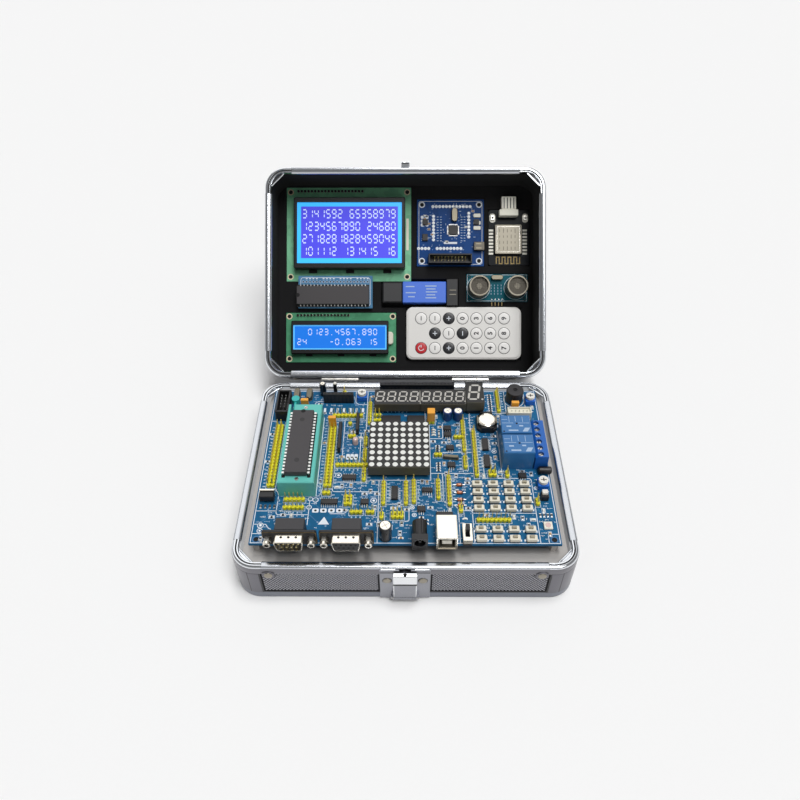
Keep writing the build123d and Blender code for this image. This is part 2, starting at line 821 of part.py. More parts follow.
# Keys, trimmers and slide switch
key_columns = [43.75, 53.35, 62.75, 72.35]
key_rows = [-20.3, -26.3, -32.3, -38.3, -53.1, -59.3]
switch_bases = []
for row, y in enumerate(key_rows):
    for column, x in enumerate(key_columns):
        key_base = block(key_width, key_depth, key_body_height, x, y)
        pocket_low = key_body_height - plunger_depth_below - key_travel - 0.1
        key_base -= block(
            plunger_width + 2 * key_clearance,
            plunger_depth + 2 * key_clearance,
            key_body_height,
            x,
            y,
            pocket_low,
        )
        switch_bases.append(key_base)
        plunger_low = key_body_height - plunger_depth_below
        plunger = block(plunger_width, plunger_depth, plunger_depth_below + plunger_rise, x, y, plunger_low)
        keep(f"key_{row + 1}_{column + 1}", [plunger], board_place)

trimmer_places = [(-29.3, 54.5), (84.4, 51.2), (83.7, -20.2)]
for index, (x, y) in enumerate(trimmer_places):
    switch_bases.append(block(trimmer_size, trimmer_size, trimmer_height, x, y))
    dial = rod(dial_radius, dial_height, x, y, trimmer_height + dial_gap)
    dial -= block(3.6, 0.7, 0.8, x, y, trimmer_height + dial_gap + dial_height - 0.8)
    keep(f"trimmer_dial_{index + 1}", [dial], board_place)

switch_x = 35.6
switch_y = edge + 4.9
frame_block = block(switch_width, switch_length, switch_height, switch_x, switch_y)
slot_length = knob_length + knob_travel + 2 * knob_clearance
frame_block -= block(
    knob_width + 2 * knob_clearance, slot_length, 2.4, switch_x, switch_y, switch_height - 2.4
)
switch_bases.append(frame_block)
knob_y = switch_y + knob_travel / 2
knob = block(knob_width, knob_length, 2.2 + knob_rise, switch_x, knob_y, switch_height - 2.2)
keep("power_switch_knob", [knob], board_place)
keep("switch_bases", switch_bases, board_place)

# Lid, drawn with its rim upwards and its underside at zero
keep("lid_shell", [shell(lid_height, lid_panel)], half_place)
lid_trim = half_frame(lid_height) + [lid_tongue()]
lid_trim = [half_place * solid for solid in lid_trim]
for x in hinge_places:
    leaf = mirror(lid_leaf(), Plane.XZ)
    lid_trim.append(lid_place * Pos(x, 0, 0) * leaf)
keep("lid_frame", lid_trim)


# Modules: each is drawn about its own middle, at (x, y) from the lid's middle
def drilled_board(width, depth, hole_x, hole_y):
    """A circuit board with four small holes near its corners, drawn eight-sided."""
    body = block(width, depth, module_board)
    for x, y in four_corners():
        body -= prism(8, module_hole_radius, module_board, x * hole_x, y * hole_y)
    return body


pockets = []


def lay(name, pieces, x, y, seat):
    """File one module, lying in the lid at a height above the lid's outside face."""
    keep(name, pieces, half_place * Pos(x, y, seat))


def pocket(x, y, width, depth, deep):
    """A pocket in the foam, a little larger than its module."""
    room = 2 * pocket_gap
    pockets.append(block(width + room, depth + room, deep, x, y, foam_top - deep))


graphic_x = -half_room_x + graphic_side_gap + graphic_width / 2
graphic_y = half_room_y - graphic_back_gap - graphic_depth / 2
graphic = [drilled_board(graphic_width, graphic_depth, graphic_width / 2 - 3.0, graphic_depth / 2 - 3.5)]
graphic.append(block(graphic_width - 11.0, graphic_depth - 18.0, graphic_height, 1.0, -0.6, module_board))
lay("graphic_display", graphic, graphic_x, graphic_y, module_seat)
pocket(graphic_x, graphic_y, graphic_width, graphic_depth, pocket_depth)

text_x = -half_room_x + text_side_gap + text_width / 2
text_y = -half_room_y + text_front_gap + text_depth / 2
text = [drilled_board(text_width, text_depth, text_width / 2 - 2.5, text_depth / 2 - 2.7)]
text.append(block(text_width - 10.4, text_depth - 12.6, text_height, -0.4, -0.3, module_board))
text.append(clipped(3.0, 9.0, 3.0, 1.0, text_width / 2 - 3.8, -0.6, module_board))
lay("text_display", text, text_x, text_y, module_seat)
pocket(text_x, text_y, text_width, text_depth, pocket_depth)

adapter_x = -half_room_x + adapter_side_gap + adapter_width / 2
adapter_y = graphic_y - graphic_depth / 2 + adapter_overlap - adapter_depth / 2
socket_z = adapter_rise + module_board
adapter = [block(adapter_width, adapter_depth, module_board, 0, 0, adapter_rise)]
adapter.append(block(20 * pitch, 2.5, adapter_rise, 0, -8.0))
adapter.append(block(50.0, 12.0, chip_standoff, -1.6, -3.6, socket_z))
adapter.append(block(54.0, chip_width, chip_thickness, -1.6, -3.6, socket_z + chip_standoff))
lay("chip_adapter", adapter, adapter_x, adapter_y, foam_top)

remote_x = half_room_x - remote_side_gap - remote_width / 2
remote_y = -half_room_y + remote_front_gap + remote_depth / 2
remote = [plate(remote_width, remote_depth, 7.0, 5.0)]
lay("remote_control", remote, remote_x, remote_y, foam_top - remote_sink)
pocket(remote_x, remote_y, remote_width, remote_depth, remote_sink)
remote_top = remote_y + remote_depth / 2

programmer_x = adapter_x + adapter_width / 2 + programmer_end_gap + programmer_length / 2
programmer_y = remote_top + programmer_gap + programmer_width / 2
programmer = [clipped(15.0, 15.4, 8.6, 0.8, 8.2 - programmer_length / 2, 0, 0.4)]
programmer.append(clipped(32.4, 16.0, 9.4, 0.5, 3.2, 0))
programmer.append(clipped(8.6, 20.2, 9.0, 0.5, programmer_length / 2 - 4.8, 0))
lay("usb_programmer", programmer, programmer_x, programmer_y, foam_top - programmer_sink)
pocket(programmer_x, programmer_y, programmer_length, programmer_width, programmer_sink)

converter_x = graphic_x + graphic_width / 2 + converter_gap + converter_size / 2
converter_y = half_room_y - converter_back_gap - converter_size / 2
edge_middle = converter_size / 2 - 4.4
converter = [drilled_board(converter_size, converter_size, converter_size / 2 - 3.8, converter_size / 2 - 4.1)]
converter.append(block(32.4, 7.0, 9.0, -0.6, -edge_middle, module_board))
converter.append(block(7.0, 7.0, 1.4, 2.0, 2.0, module_board))
converter.append(block(8.0, 6.4, 3.6, converter_size / 2 - 3.9, -10.6, module_board))
converter.append(Pos(3.0, 13.2, module_board) * crystal_can(0, 0, 10.4, 4.4, 3.0, 90))
lay("converter_board", converter, converter_x, converter_y, module_seat)
pocket(converter_x, converter_y, converter_size, converter_size, pocket_depth)

wifi_x = half_room_x - wifi_side_gap - wifi_width / 2
wifi_y = half_room_y - wifi_back_gap - wifi_depth / 2
plug_y = wifi_depth / 2 - 3.4
wifi = [clipped(wifi_width, wifi_depth, module_board, 1.4)]
wifi.append(block(20.0, 22.0, 3.0, -0.9, -1.8, module_board))
wifi.append(block(14.0, 4.8, 6.0, -0.9, plug_y, module_board))
wifi.append(block(10.8, 9.6, 5.4, -0.9, plug_y + 7.2, module_board + 0.6))
lay("wifi_module", wifi, wifi_x, wifi_y, module_seat)
pocket(wifi_x, wifi_y, wifi_width, wifi_depth, pocket_depth)

sensor_x = half_room_x - sensor_side_gap - sensor_width / 2
sensor_y = remote_top + sensor_gap + sensor_depth / 2
pin_reach = 3.4
sensor = [block(sensor_width, sensor_depth, module_board)]
for side in (-1, 1):
    sensor.append(rod(7.9, 11.4, side * (sensor_width / 2 - 9.0), 0, module_board))
sensor.append(Pos(0, 7.6, module_board) * crystal_can(0, 0, 9.0, 3.8, 3.0))
for index in range(4):
    pin_y = -sensor_depth / 2 - pin_reach / 2
    sensor.append(block(pin_width, pin_reach, pin_width, (index - 1.5) * pitch, pin_y, 0.5))
lay("range_sensor", sensor, sensor_x, sensor_y, module_seat)
pocket(sensor_x, sensor_y, sensor_width, sensor_depth, pocket_depth)
pocket(sensor_x, sensor_y - sensor_depth / 2 - pin_reach / 2, 4 * pitch, pin_reach, pocket_depth)

foam = Pos(0, 0, lid_panel) * extrude(outline(skin + wall + foam_gap), foam_thickness)
for hollow in pockets:
    foam -= hollow
keep("lid_foam", [foam], half_place)

# One file for each node
os.makedirs("parts", exist_ok=True)
for name, solids in nodes.items():
    pieces = []
    for shape in solids:
        pieces += shape.solids()
    export_step(Compound(children=pieces) if len(pieces) > 1 else pieces[0], f"parts/{name}.step")
print(len(nodes), "nodes")
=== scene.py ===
import json
import math
import random

import bmesh
import bpy
from mathutils import Matrix, Vector


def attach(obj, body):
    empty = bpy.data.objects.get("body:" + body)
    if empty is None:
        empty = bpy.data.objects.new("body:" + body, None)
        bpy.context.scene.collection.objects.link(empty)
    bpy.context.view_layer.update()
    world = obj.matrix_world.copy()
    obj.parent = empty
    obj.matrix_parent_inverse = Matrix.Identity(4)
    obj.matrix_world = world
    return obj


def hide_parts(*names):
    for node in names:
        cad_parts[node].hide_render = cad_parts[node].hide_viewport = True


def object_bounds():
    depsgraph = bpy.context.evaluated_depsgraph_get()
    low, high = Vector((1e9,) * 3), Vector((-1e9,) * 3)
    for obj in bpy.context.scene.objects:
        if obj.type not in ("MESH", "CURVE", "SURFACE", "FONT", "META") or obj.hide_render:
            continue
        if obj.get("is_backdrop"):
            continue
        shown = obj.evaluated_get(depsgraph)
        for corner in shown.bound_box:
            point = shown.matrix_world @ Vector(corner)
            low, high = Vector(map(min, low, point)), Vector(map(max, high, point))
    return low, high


# The looks of a microcontroller trainer board in a hinged aluminium carrying case.
# Lengths here are in millimetres and become metres when a piece is finished.
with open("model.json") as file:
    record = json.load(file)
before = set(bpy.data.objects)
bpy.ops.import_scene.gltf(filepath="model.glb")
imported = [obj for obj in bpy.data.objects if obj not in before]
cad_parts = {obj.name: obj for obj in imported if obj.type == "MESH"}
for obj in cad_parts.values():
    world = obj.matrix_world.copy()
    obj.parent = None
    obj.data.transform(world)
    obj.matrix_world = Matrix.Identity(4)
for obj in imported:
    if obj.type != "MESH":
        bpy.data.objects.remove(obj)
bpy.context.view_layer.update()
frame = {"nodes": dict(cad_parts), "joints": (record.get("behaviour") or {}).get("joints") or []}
MM = 0.001
CORNERS = ((1, 1), (-1, 1), (-1, -1), (1, -1))      # the signs of X and Y at the four corners, in turn
chance = random.Random(7)


def linear(code, shade=1.0):
    """An sRGB hex colour as linear red, green, blue and alpha, lightened or darkened by a factor."""
    values = [int(code[start:start + 2], 16) / 255 for start in (1, 3, 5)]
    values = [v / 12.92 if v <= 0.04045 else ((v + 0.055) / 1.055) ** 2.4 for v in values]
    return [min(1.0, v * shade) for v in values] + [1.0]


def add(tree, kind, inputs=None, **settings):
    """Adds one shader node with its settings, and a value or a link for each socket named."""
    node = tree.nodes.new(kind)
    for name, value in settings.items():
        setattr(node, name, value)
    for name, value in (inputs or {}).items():
        if isinstance(value, bpy.types.NodeSocket):
            tree.links.new(value, node.inputs[name])
        else:
            node.inputs[name].default_value = value
    return node


def surface(name, colour, roughness, grain=0.4, uneven=0.06, relief=0.01, stretch=(1, 1, 1), **shine):
    """A finish whose colour, gloss and relief follow one noise, with its grain in millimetres.

    stretch draws the grain out, as brushing does, and shine holds the shader's own values.
    """
    material = bpy.data.materials.new(name)
    material.use_nodes = True
    tree = material.node_tree
    tree.nodes.clear()
    place = add(tree, "ShaderNodeTexCoord").outputs["Object"]
    drawn = add(tree, "ShaderNodeMapping", {"Vector": place, "Scale": stretch}).outputs[0]
    scale = 1 / (grain * MM)
    noise = add(tree, "ShaderNodeTexNoise", {"Vector": drawn, "Scale": scale, "Detail": 4.0}).outputs[0]
    ends = {0: noise, 6: linear(colour, 1 - 2 * uneven), 7: linear(colour, 1 + 2 * uneven)}
    tint = add(tree, "ShaderNodeMix", ends, data_type="RGBA").outputs[2]
    limits = {"Value": noise, "To Min": roughness - 0.08, "To Max": roughness + 0.08}
    gloss = add(tree, "ShaderNodeMapRange", limits).outputs[0]
    bump = add(tree, "ShaderNodeBump", {"Height": noise, "Distance": relief * MM}).outputs[0]
    values = {"Base Color": tint, "Roughness": gloss, "Normal": bump}
    for key, value in shine.items():
        values[key.replace("_", " ").title()] = value
    shader = add(tree, "ShaderNodeBsdfPrincipled", values)
    add(tree, "ShaderNodeOutputMaterial", {"Surface": shader.outputs[0]})
    return material


def metal(name, colour, roughness, grain=0.3, stretch=(1, 1, 1), uneven=0.04):
    """A bare or plated metal: its grain shows as fine scratches in the gloss.

    Real scratches and brush marks are finer than 0.1 mm. They are drawn two to four times as coarse,
    so that they show in the render.
    """
    return surface(name, colour, roughness, grain, uneven, 0.004, stretch, metallic=1.0)


def moulded(name, colour, roughness=0.42, coat=0.0):
    """A moulded plastic: a faint spark-eroded texture and a slight drift of colour.

    The real texture is about 0.05 mm. It is drawn at 0.3 mm, so that it shows in the render.
    """
    return surface(name, colour, roughness, 0.3, 0.04, 0.006, coat_weight=coat)


def solder_mask(name, colour, pour=7.0, shine=0.1):
    """Glass-fibre board under satin solder mask: the copper pours below show as paler islands."""
    material = surface(name, colour, 0.35, 0.35, 0.05, 0.004)
    tree = material.node_tree
    shader = next(node for node in tree.nodes if node.type == "BSDF_PRINCIPLED")
    shader.inputs["Specular IOR Level"].default_value = shine
    place = add(tree, "ShaderNodeTexCoord").outputs["Object"]
    spread = {"Vector": place, "Scale": 1 / (pour * MM), "Detail": 1.0}
    noise = add(tree, "ShaderNodeTexNoise", spread).outputs[0]
    steep = {"Value": noise, "From Min": 0.49, "From Max": 0.52}
    mask = add(tree, "ShaderNodeMapRange", steep).outputs[0]
    ends = {0: mask, 6: linear(colour, 0.93), 7: linear(colour, 1.07)}
    tint = add(tree, "ShaderNodeMix", ends, data_type="RGBA").outputs[2]
    tree.links.new(tint, shader.inputs["Base Color"])
    return material


def lit(name, colour, strength, roughness=0.2):
    """A lit display area behind glass: it shines a little by itself and keeps a gloss."""
    glow = {"emission_color": linear(colour), "emission_strength": strength}
    return surface(name, colour, roughness, 0.5, 0.02, 0.001, coat_weight=0.5, **glow)


# Anodised extrusions of the case: satin, with soft highlights drawn out along their length
anodised_rim = metal("anodised_aluminium_rim", "#c3c6cb", 0.22, 0.25, (1, 1, 12))
# the skirt is the rim extrusion's own outer face, drawn darker than its top: painted shade
shaded_skirt_metal = metal("satin_aluminium_skirt_painted_shade", "#7b7a7f", 0.3, 0.25, (1, 1, 12))
satin_column = metal("satin_aluminium_column", "#75747a", 0.32, 0.2, (12, 12, 1))
strip_metal = metal("satin_aluminium_strip", "#858890", 0.32, 0.2, (1, 1, 12))
# Polished castings and pads: they mirror the room, white wall and dark floor alike
polished_corner = metal("polished_zinc_corner", "#dcdfe3", 0.15, 0.4)
pad_metal = metal("polished_nickel_pad", "#eef0f2", 0.14, 0.4)
# Rolled sheet: the pressed diamonds shine, and the flat sheet between them is a dark copy of the same metal,
# as painted shade
embossed_sheet = metal("embossed_aluminium_sheet", "#a1a1a7", 0.25, 0.3)
painted_shade_sheet = metal("embossed_sheet_painted_shade", "#262528", 0.5, 0.3)
# Latch steel is nickel plated and brushed, and rivets are duller and warmer. A wet near-black draws the
# dark joints, and painted shade in folds, at panel ends, on the lid's gussets and under rivets and pads
latch_metal = metal("nickel_plated_latch_steel", "#96979d", 0.28, 0.25, (1, 1, 10))
rivet_metal = metal("dull_steel_rivet", "#9a9488", 0.3, 0.2)
joint_and_shade_dark = moulded("dark_joint_and_painted_shade", "#1c1c1f", 0.35, 0.2)
# Inside the case: a pale liner without mirror, whose paleness is a painted reflection of the bright room,
# and a deck brushed from side to side whose oxide dulls its metal shine
reflection_pale_liner = surface("pale_liner_painted_reflection", "#d9dadb", 0.4, 0.3, 0.03, 0.003)
deck_metal = surface("brushed_aluminium_deck", "#a6a3a0", 0.4, 0.22, 0.06, 0.004, (0.05, 1, 1), metallic=0.55)

# Tin and solder: pale and satin on legs and pads, brighter on shells that were dipped
tin_plate = metal("tinned_steel_leg", "#d9d9d6", 0.3)
solder = metal("solder_tin", "#cfd2d6", 0.25)
bright_shell = metal("bright_tinned_shell", "#efe9dc", 0.2)
# Gold flash: a warm, thin plating on pins, and a brown passivated film on flange edges
gold_plate = metal("gold_flashed_pin", "#f2e3b0", 0.3)
pin_gold = metal("gold_flashed_header_pin", "#f6e7a8", 0.32)
flange_gold = metal("passivated_flange_edge", "#8c7a58", 0.35)
# Nickel on jackscrews and screws: cooler, and a little mirrored
nickel_shell = metal("nickel_plated_shell", "#c9c6bf", 0.28)
# Drawn and pressed steel cans: dull and warm grey beside the bright shells
crystal_steel = metal("drawn_steel_can", "#7d7768", 0.4)
shield_steel = metal("tin_plated_shield", "#888377", 0.45)
mesh_steel = metal("sensor_mesh_steel", "#5d5952", 0.45)

# Painted shade for grooves and holes, and felt and cut foam, which swallow the light: the foam's cells make
# it uneven
groove_shade_black = moulded("painted_groove_shade", "#0b0b0d", 0.7)
foam_black = surface("cut_polyethylene_foam", "#060608", 0.95, 0.6, 0.25, 0.12)
lining_black = surface("black_felt_lining", "#060607", 0.98, 0.35, 0.2, 0.06)
# painted shade: a near-black laid in holes, slots, sockets and notches, where shade falls
painted_hole_shade = moulded("painted_recess_shade", "#050506", 0.8)
# Moulded epoxy: a grey bloom without a clear highlight
chip_epoxy = moulded("moulded_epoxy_grey", "#3b383a", 0.55)
small_epoxy = moulded("moulded_epoxy_black", "#211f20", 0.5)
# Filled nylon, polyester and lacquered steel: near black, with a soft gloss along their edges
nylon_black = moulded("glass_filled_nylon_black", "#0e0e11", 0.4)
housing_grey = moulded("polyester_housing_grey", "#2c2b2e", 0.45)
buzzer_black = moulded("phenolic_black", "#262427", 0.5)
bezel_steel = surface("black_lacquered_steel", "#0c0d10", 0.4, 0.3, 0.04, 0.004, metallic=0.3)

# Moulded nylon and polyester in colour: strong and even, with a broad, soft highlight
header_yellow = moulded("nylon_header_yellow", "#dcd526", 0.38)
jumper_amber = moulded("jumper_cap_amber", "#efa83a", 0.35)
socket_turquoise = moulded("socket_nylon_turquoise", "#63c0b6", 0.45)
knob_turquoise = moulded("lever_knob_turquoise", "#35b3ae", 0.35)
terminal_blue = moulded("terminal_polyamide_blue", "#1a5fb2", 0.38)
trimmer_blue = moulded("trimmer_body_blue", "#1663c4", 0.35)
# Shrunk sleeves, a glossy relay case, clear lenses and glass: a coat makes their highlight sharp
relay_blue = moulded("relay_case_blue", "#2f6ea8", 0.3, 0.2)
sleeve_blue = moulded("capacitor_sleeve_blue", "#123a78", 0.3, 0.3)
sleeve_black = moulded("capacitor_sleeve_black", "#0c0c10", 0.28, 0.3)
diode_amber = moulded("glass_diode_amber", "#b8602a", 0.15, 0.6)
sensor_pink = moulded("clear_epoxy_lens", "#d9b9b4", 0.2, 0.6)
# Cream and white mouldings: soft, slightly yellow, and never quite white
plug_cream = moulded("nylon_plug_cream", "#e4e0cf", 0.45)
# the wireless module's plug: the same cream nylon, drawn paler to make up for the lid's shade, as painted
# light
plug_cream_painted_light = moulded("nylon_plug_cream_painted_light", "#fbf6e6", 0.45)
key_cream = moulded("key_body_cream", "#e6e1d1", 0.45)
plunger_cream = moulded("key_plunger_grey", "#a59d88", 0.45)
dial_white = moulded("trimmer_dial_white", "#e9e6de", 0.4)
lamp_white = moulded("lamp_chip_white", "#e9e6d8", 0.35)
ceramic_tan = moulded("ceramic_capacitor_tan", "#b58d5c", 0.4)
# Number and dot displays, unlit: a cast body, a dark face and pale diffusing epoxy in its openings
display_body = moulded("display_body_olive", "#4f4c40", 0.5)
display_face = moulded("display_face_black", "#100f0f", 0.35)
matrix_face = moulded("matrix_face_dark", "#191816", 0.45)
segment_grey = moulded("diffused_epoxy_segment", "#c4c1ba", 0.4)
dot_white = moulded("diffused_epoxy_dot", "#e4e5e0", 0.35)

# Boards: satin solder mask, with paler islands where a copper pour lies under it
board_mask = solder_mask("blue_solder_mask", "#1f5f89")
# the graphic display's green is drawn paler than the board's own, to make up for the lid's shade: painted
# light
green_mask = solder_mask("green_solder_mask", "#7fc29a")
deep_green_mask = solder_mask("deep_green_solder_mask", "#549a74")
slate_mask = solder_mask("slate_solder_mask", "#4f7fa4")
royal_mask = solder_mask("royal_solder_mask", "#10417f", 5.0)
black_mask = solder_mask("black_solder_mask", "#16191d", 5.0)
teal_mask = solder_mask("teal_solder_mask", "#0b5a68", 5.0)
# On the boards: a track under the mask is paler and glossier, screen print is matt, bare gold is dull
trace_mask = moulded("mask_over_copper", "#356c9c", 0.3, 0.2)
white_ink = moulded("screen_printed_ink", "#e3e9f0", 0.55)
pale_ink = moulded("fine_screen_print", "#a8bfd9", 0.55)
gold_print = metal("tarnished_gold_track", "#6e6042", 0.4)
ring_cream = moulded("tinned_ring_cream", "#e3d6b4", 0.35)

# Lit displays: they shine a little from behind, under glossy glass
screen_violet = lit("lit_screen_violet", "#4a48d8", 0.5)
screen_cyan = lit("lit_screen_edge", "#37adf4", 0.7)
screen_blue = lit("lit_screen_blue", "#116fd6", 0.5)
screen_edge = lit("lit_screen_pale", "#57b4f4", 0.5)
screen_white = lit("lit_characters", "#c9d6fb", 0.5)
# Remote and programmer: a satin shell, soft keys that shine a little more, and a printed sleeve
remote_white = moulded("remote_shell_white", "#e6e4e0", 0.4)
key_white = moulded("membrane_key_white", "#efedea", 0.35)
key_black = moulded("membrane_key_black", "#202024", 0.3)
key_red = moulded("membrane_key_red", "#c4232b", 0.35)
print_grey = moulded("key_print_grey", "#17171b", 0.5)
cap_grey = moulded("programmer_cap_grey", "#28282a", 0.5)
sleeve_royal = moulded("printed_sleeve_blue", "#4475e0", 0.35, 0.3)


def at(x=0.0, y=0.0, z=0.0, turn=0.0, axis="Z"):
    """A place, with a turn in degrees about one axis."""
    return Matrix.Translation((x, y, z)) @ Matrix.Rotation(math.radians(turn), 4, axis)


def spaced(count, step):
    """Even places along a line, centred on zero."""
    return [(index - (count - 1) / 2) * step for index in range(count)]


def cad_box(node, place=Matrix()):
    """A CAD node's lowest and highest corners, seen from a place."""
    back = place.inverted()
    points = [back @ (vertex.co / MM) for vertex in frame["nodes"][node].data.vertices]
    return Vector(map(min, zip(*points))), Vector(map(max, zip(*points)))


def islands(node, place):
    """The lowest and highest corners of each separate solid in a CAD node, seen from a place."""
    mesh = frame["nodes"][node].data
    back = place.inverted()
    spots = {}
    numbers = []
    for vertex in mesh.vertices:
        key = tuple(round(value, 2) for value in back @ (vertex.co / MM))
        numbers.append(spots.setdefault(key, len(spots)))
    parent = list(range(len(spots)))

    def root(index):
        while parent[index] != index:
            parent[index] = parent[parent[index]]
            index = parent[index]
        return index

    for edge in mesh.edges:
        parent[root(numbers[edge.vertices[0]])] = root(numbers[edge.vertices[1]])
    groups = {}
    for key, index in spots.items():
        groups.setdefault(root(index), []).append(key)
    boxes = [(Vector(map(min, zip(*keys))), Vector(map(max, zip(*keys)))) for keys in groups.values()]
    return sorted(boxes, key=lambda box: tuple(box[0]))


def rectangle(width, depth, cut=0.0):
    """A rectangle's outline, with its corners cut where asked."""
    x, y = width / 2, depth / 2
    if cut <= 0:
        return [Vector(p) for p in ((-x, -y), (x, -y), (x, y), (-x, y))]
    corners = ((cut - x, -y), (x - cut, -y), (x, cut - y), (x, y - cut))
    return [Vector(p) for p in corners] + [Vector((-a, -b)) for a, b in corners]


def rounded_rectangle(width, depth, radius, steps=5):
    """A rectangle's outline with round corners."""
    points = []
    for quarter, (sx, sy) in enumerate(CORNERS):
        centre = Vector((sx * (width / 2 - radius), sy * (depth / 2 - radius)))
        for step in range(steps + 1):
            angle = math.radians(90 * (quarter + step / steps))
            points.append(centre + radius * Vector((math.cos(angle), math.sin(angle))))
    return points


def circle(radius, sides=24):
    """A circle's outline."""
    turns = [2 * math.pi * side / sides for side in range(sides)]
    return [Vector((radius * math.cos(turn), radius * math.sin(turn))) for turn in turns]


def inset(outline, amount):
    """An outline drawn in by an even amount."""
    moved = []
    for index, point in enumerate(outline):
        before = (point - outline[index - 1]).normalized()
        after = (outline[(index + 1) % len(outline)] - point).normalized()
        inward = Vector((-before.y - after.y, before.x + after.x))
        moved.append(point + inward * (amount / max(0.3, 1 + before.dot(after))))
    return moved


def rounded_path(points, radius, steps=3):
    """A path with its inner corners rounded."""
    path = [Vector(points[0])]
    for index in range(1, len(points) - 1):
        corner = Vector(points[index])
        to_last = Vector(points[index - 1]) - corner
        to_next = Vector(points[index + 1]) - corner
        reach = min(radius, to_last.length / 2, to_next.length / 2)
        start = corner + to_last.normalized() * reach
        end = corner + to_next.normalized() * reach
        for step in range(steps + 1):
            t = step / steps
            path.append(start * (1 - t) ** 2 + corner * (2 * t * (1 - t)) + end * t ** 2)
    return path + [Vector(points[-1])]


class Piece:
    """One visible piece: shapes gathered in one place, each with a finish, made into one mesh."""

    def __init__(self, name, place=Matrix(), body="case_base", slot=None, replaces=()):
        self.name = name
        self.place = place
        self.body = body
        self.slot = slot
        self.replaces = replaces
        self.points = []
        self.faces = []
        self.finishes = []
        self.marks = []

    def add(self, move, points, faces, finish):
        """Adds points, moved into place, and the faces between them."""
        start = len(self.points)
        self.points += [move @ point for point in points]
        self.faces += [[start + index for index in face] for face in faces]
        if finish not in self.finishes:
            self.finishes.append(finish)
        self.marks += [self.finishes.index(finish)] * len(faces)

    def loft(self, move, rings, finish, closed=False):
        """Skins rings of equal count: with flat ends, or closed from the last ring to the first."""
        count = len(rings[0])
        points = [Vector(point) for ring in rings for point in ring]
        faces = []
        for step in range(len(rings) if closed else len(rings) - 1):
            low, high = step * count, (step + 1) % len(rings) * count
            for index in range(count):
                after = (index + 1) % count
                faces.append((low + index, low + after, high + after, high + index))
        if not closed:
            faces += [tuple(range(count))[::-1], tuple(range(len(points) - count, len(points)))]
        self.add(move, points, faces, finish)

    def prism(self, move, outline, height, finish, edge=0.12, top=0.0):
        """An outline raised to a height with cut edges, drawn in by top towards its upper face."""
        levels = [(0, 0), (top, height)]
        if edge > 0:
            levels = [(edge, 0), (0, edge), (top, height - edge), (top + edge, height)]
        rings = [[(*point, z) for point in (inset(outline, by) if by else outline)] for by, z in levels]
        self.loft(move, rings, finish)

    def box(self, move, width, depth, height, finish, edge=0.12, top=0.0):
        """A block on its base centre, with all its edges cut."""
        self.prism(move, rectangle(width, depth, edge), height, finish, edge, top)

    def lathe(self, move, profile, finish, sides=28):
        """A turned shape: a profile of radius and height, from its low end to its high end."""
        rings = [[(*point, z) for point in circle(radius, sides)] for radius, z in profile]
        self.loft(move, rings, finish)

    def rod(self, move, radius, height, finish, edge=0.12, top=None, sides=24):
        """A round bar on its base centre, tapered where asked."""
        end = radius if top is None else top
        profile = [(radius - edge, 0), (radius, edge), (end, height - edge), (end - edge, height)]
        self.lathe(move, profile, finish, sides)

    def tube(self, move, outer, inner, height, finish, edge=0.1):
        """A wall between two outlines of equal count."""
        rings = [(inset(outer, edge), 0), (outer, edge), (outer, height - edge), (inset(outer, edge), height)]
        rings += [(inner, height), (inner, 0)]
        self.loft(move, [[(*point, z) for point in ring] for ring, z in rings], finish, True)

    def sweep(self, stations, section, finish, closed=False):
        """A section of inset and height, carried along points of the plan."""
        rings = []
        for point, out, shift in stations:
            rings.append([(*(point - out * (depth + shift)), z) for depth, z in section])
        self.loft(Matrix(), rings, finish, closed)

    def stroke(self, points, width, finish, closed=False, thick=0.04, move=Matrix()):
        """A flat printed line along a path."""
        points = [Vector(point) for point in points]
        rings = []
        for index, point in enumerate(points):
            before = points[index - 1] if index or closed else point
            after = points[(index + 1) % len(points)] if closed or index < len(points) - 1 else point
            steps = [step for step in (point - before, after - point) if step.length > 1e-6]
            ways = [step.normalized() for step in steps]
            side = sum((Vector((-way.y, way.x)) for way in ways), Vector((0, 0)))
            side *= width / max(0.6, side.length_squared) if len(ways) > 1 else width / 2
            ends = (point - side, point + side)
            rings.append([(*ends[0], 0), (*ends[1], 0), (*ends[1], thick), (*ends[0], thick)])
        self.loft(move, rings, finish, closed)

    def word(self, move, text, size, finish, thick=0.05, bold=0.16):
        """Plain numbers or signs in the built-in font, centred and made bolder by a margin."""
        curve = bpy.data.curves.new("word", "FONT")
        curve.body = text
        curve.size = size
        curve.align_x = "CENTER"
        curve.align_y = "CENTER"
        curve.extrude = thick / 2
        curve.offset = bold
        curve.resolution_u = 2
        holder = bpy.data.objects.new("word", curve)
        mesh = bpy.data.meshes.new_from_object(holder)
        points = [vertex.co + Vector((0, 0, thick / 2)) for vertex in mesh.vertices]
        self.add(move, points, [tuple(face.vertices) for face in mesh.polygons], finish)
        bpy.data.objects.remove(holder)
        bpy.data.curves.remove(curve)
        bpy.data.meshes.remove(mesh)

    def done(self, smooth=38.0):
        """Makes the mesh, puts it in place and hands it to its body."""
        mesh = bpy.data.meshes.new(self.name)
        mesh.from_pydata([point * MM for point in self.points], [], self.faces)
        for finish in self.finishes:
            mesh.materials.append(finish)
        mesh.polygons.foreach_set("material_index", self.marks)
        work = bmesh.new()
        work.from_mesh(mesh)
        bmesh.ops.recalc_face_normals(work, faces=work.faces[:])
        work.to_mesh(mesh)
        work.free()
        mesh.shade_smooth()
        mesh.set_sharp_from_angle(angle=math.radians(smooth))
        thing = bpy.data.objects.new(self.name, mesh)
        bpy.context.scene.collection.objects.link(thing)
        place = self.place.copy()
        place.translation *= MM
        thing.matrix_world = place
        even = thing.modifiers.new("even_shading", "WEIGHTED_NORMAL")
        even.keep_sharp = True
        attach(thing, self.body)
        if self.replaces:
            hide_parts(*self.replaces)


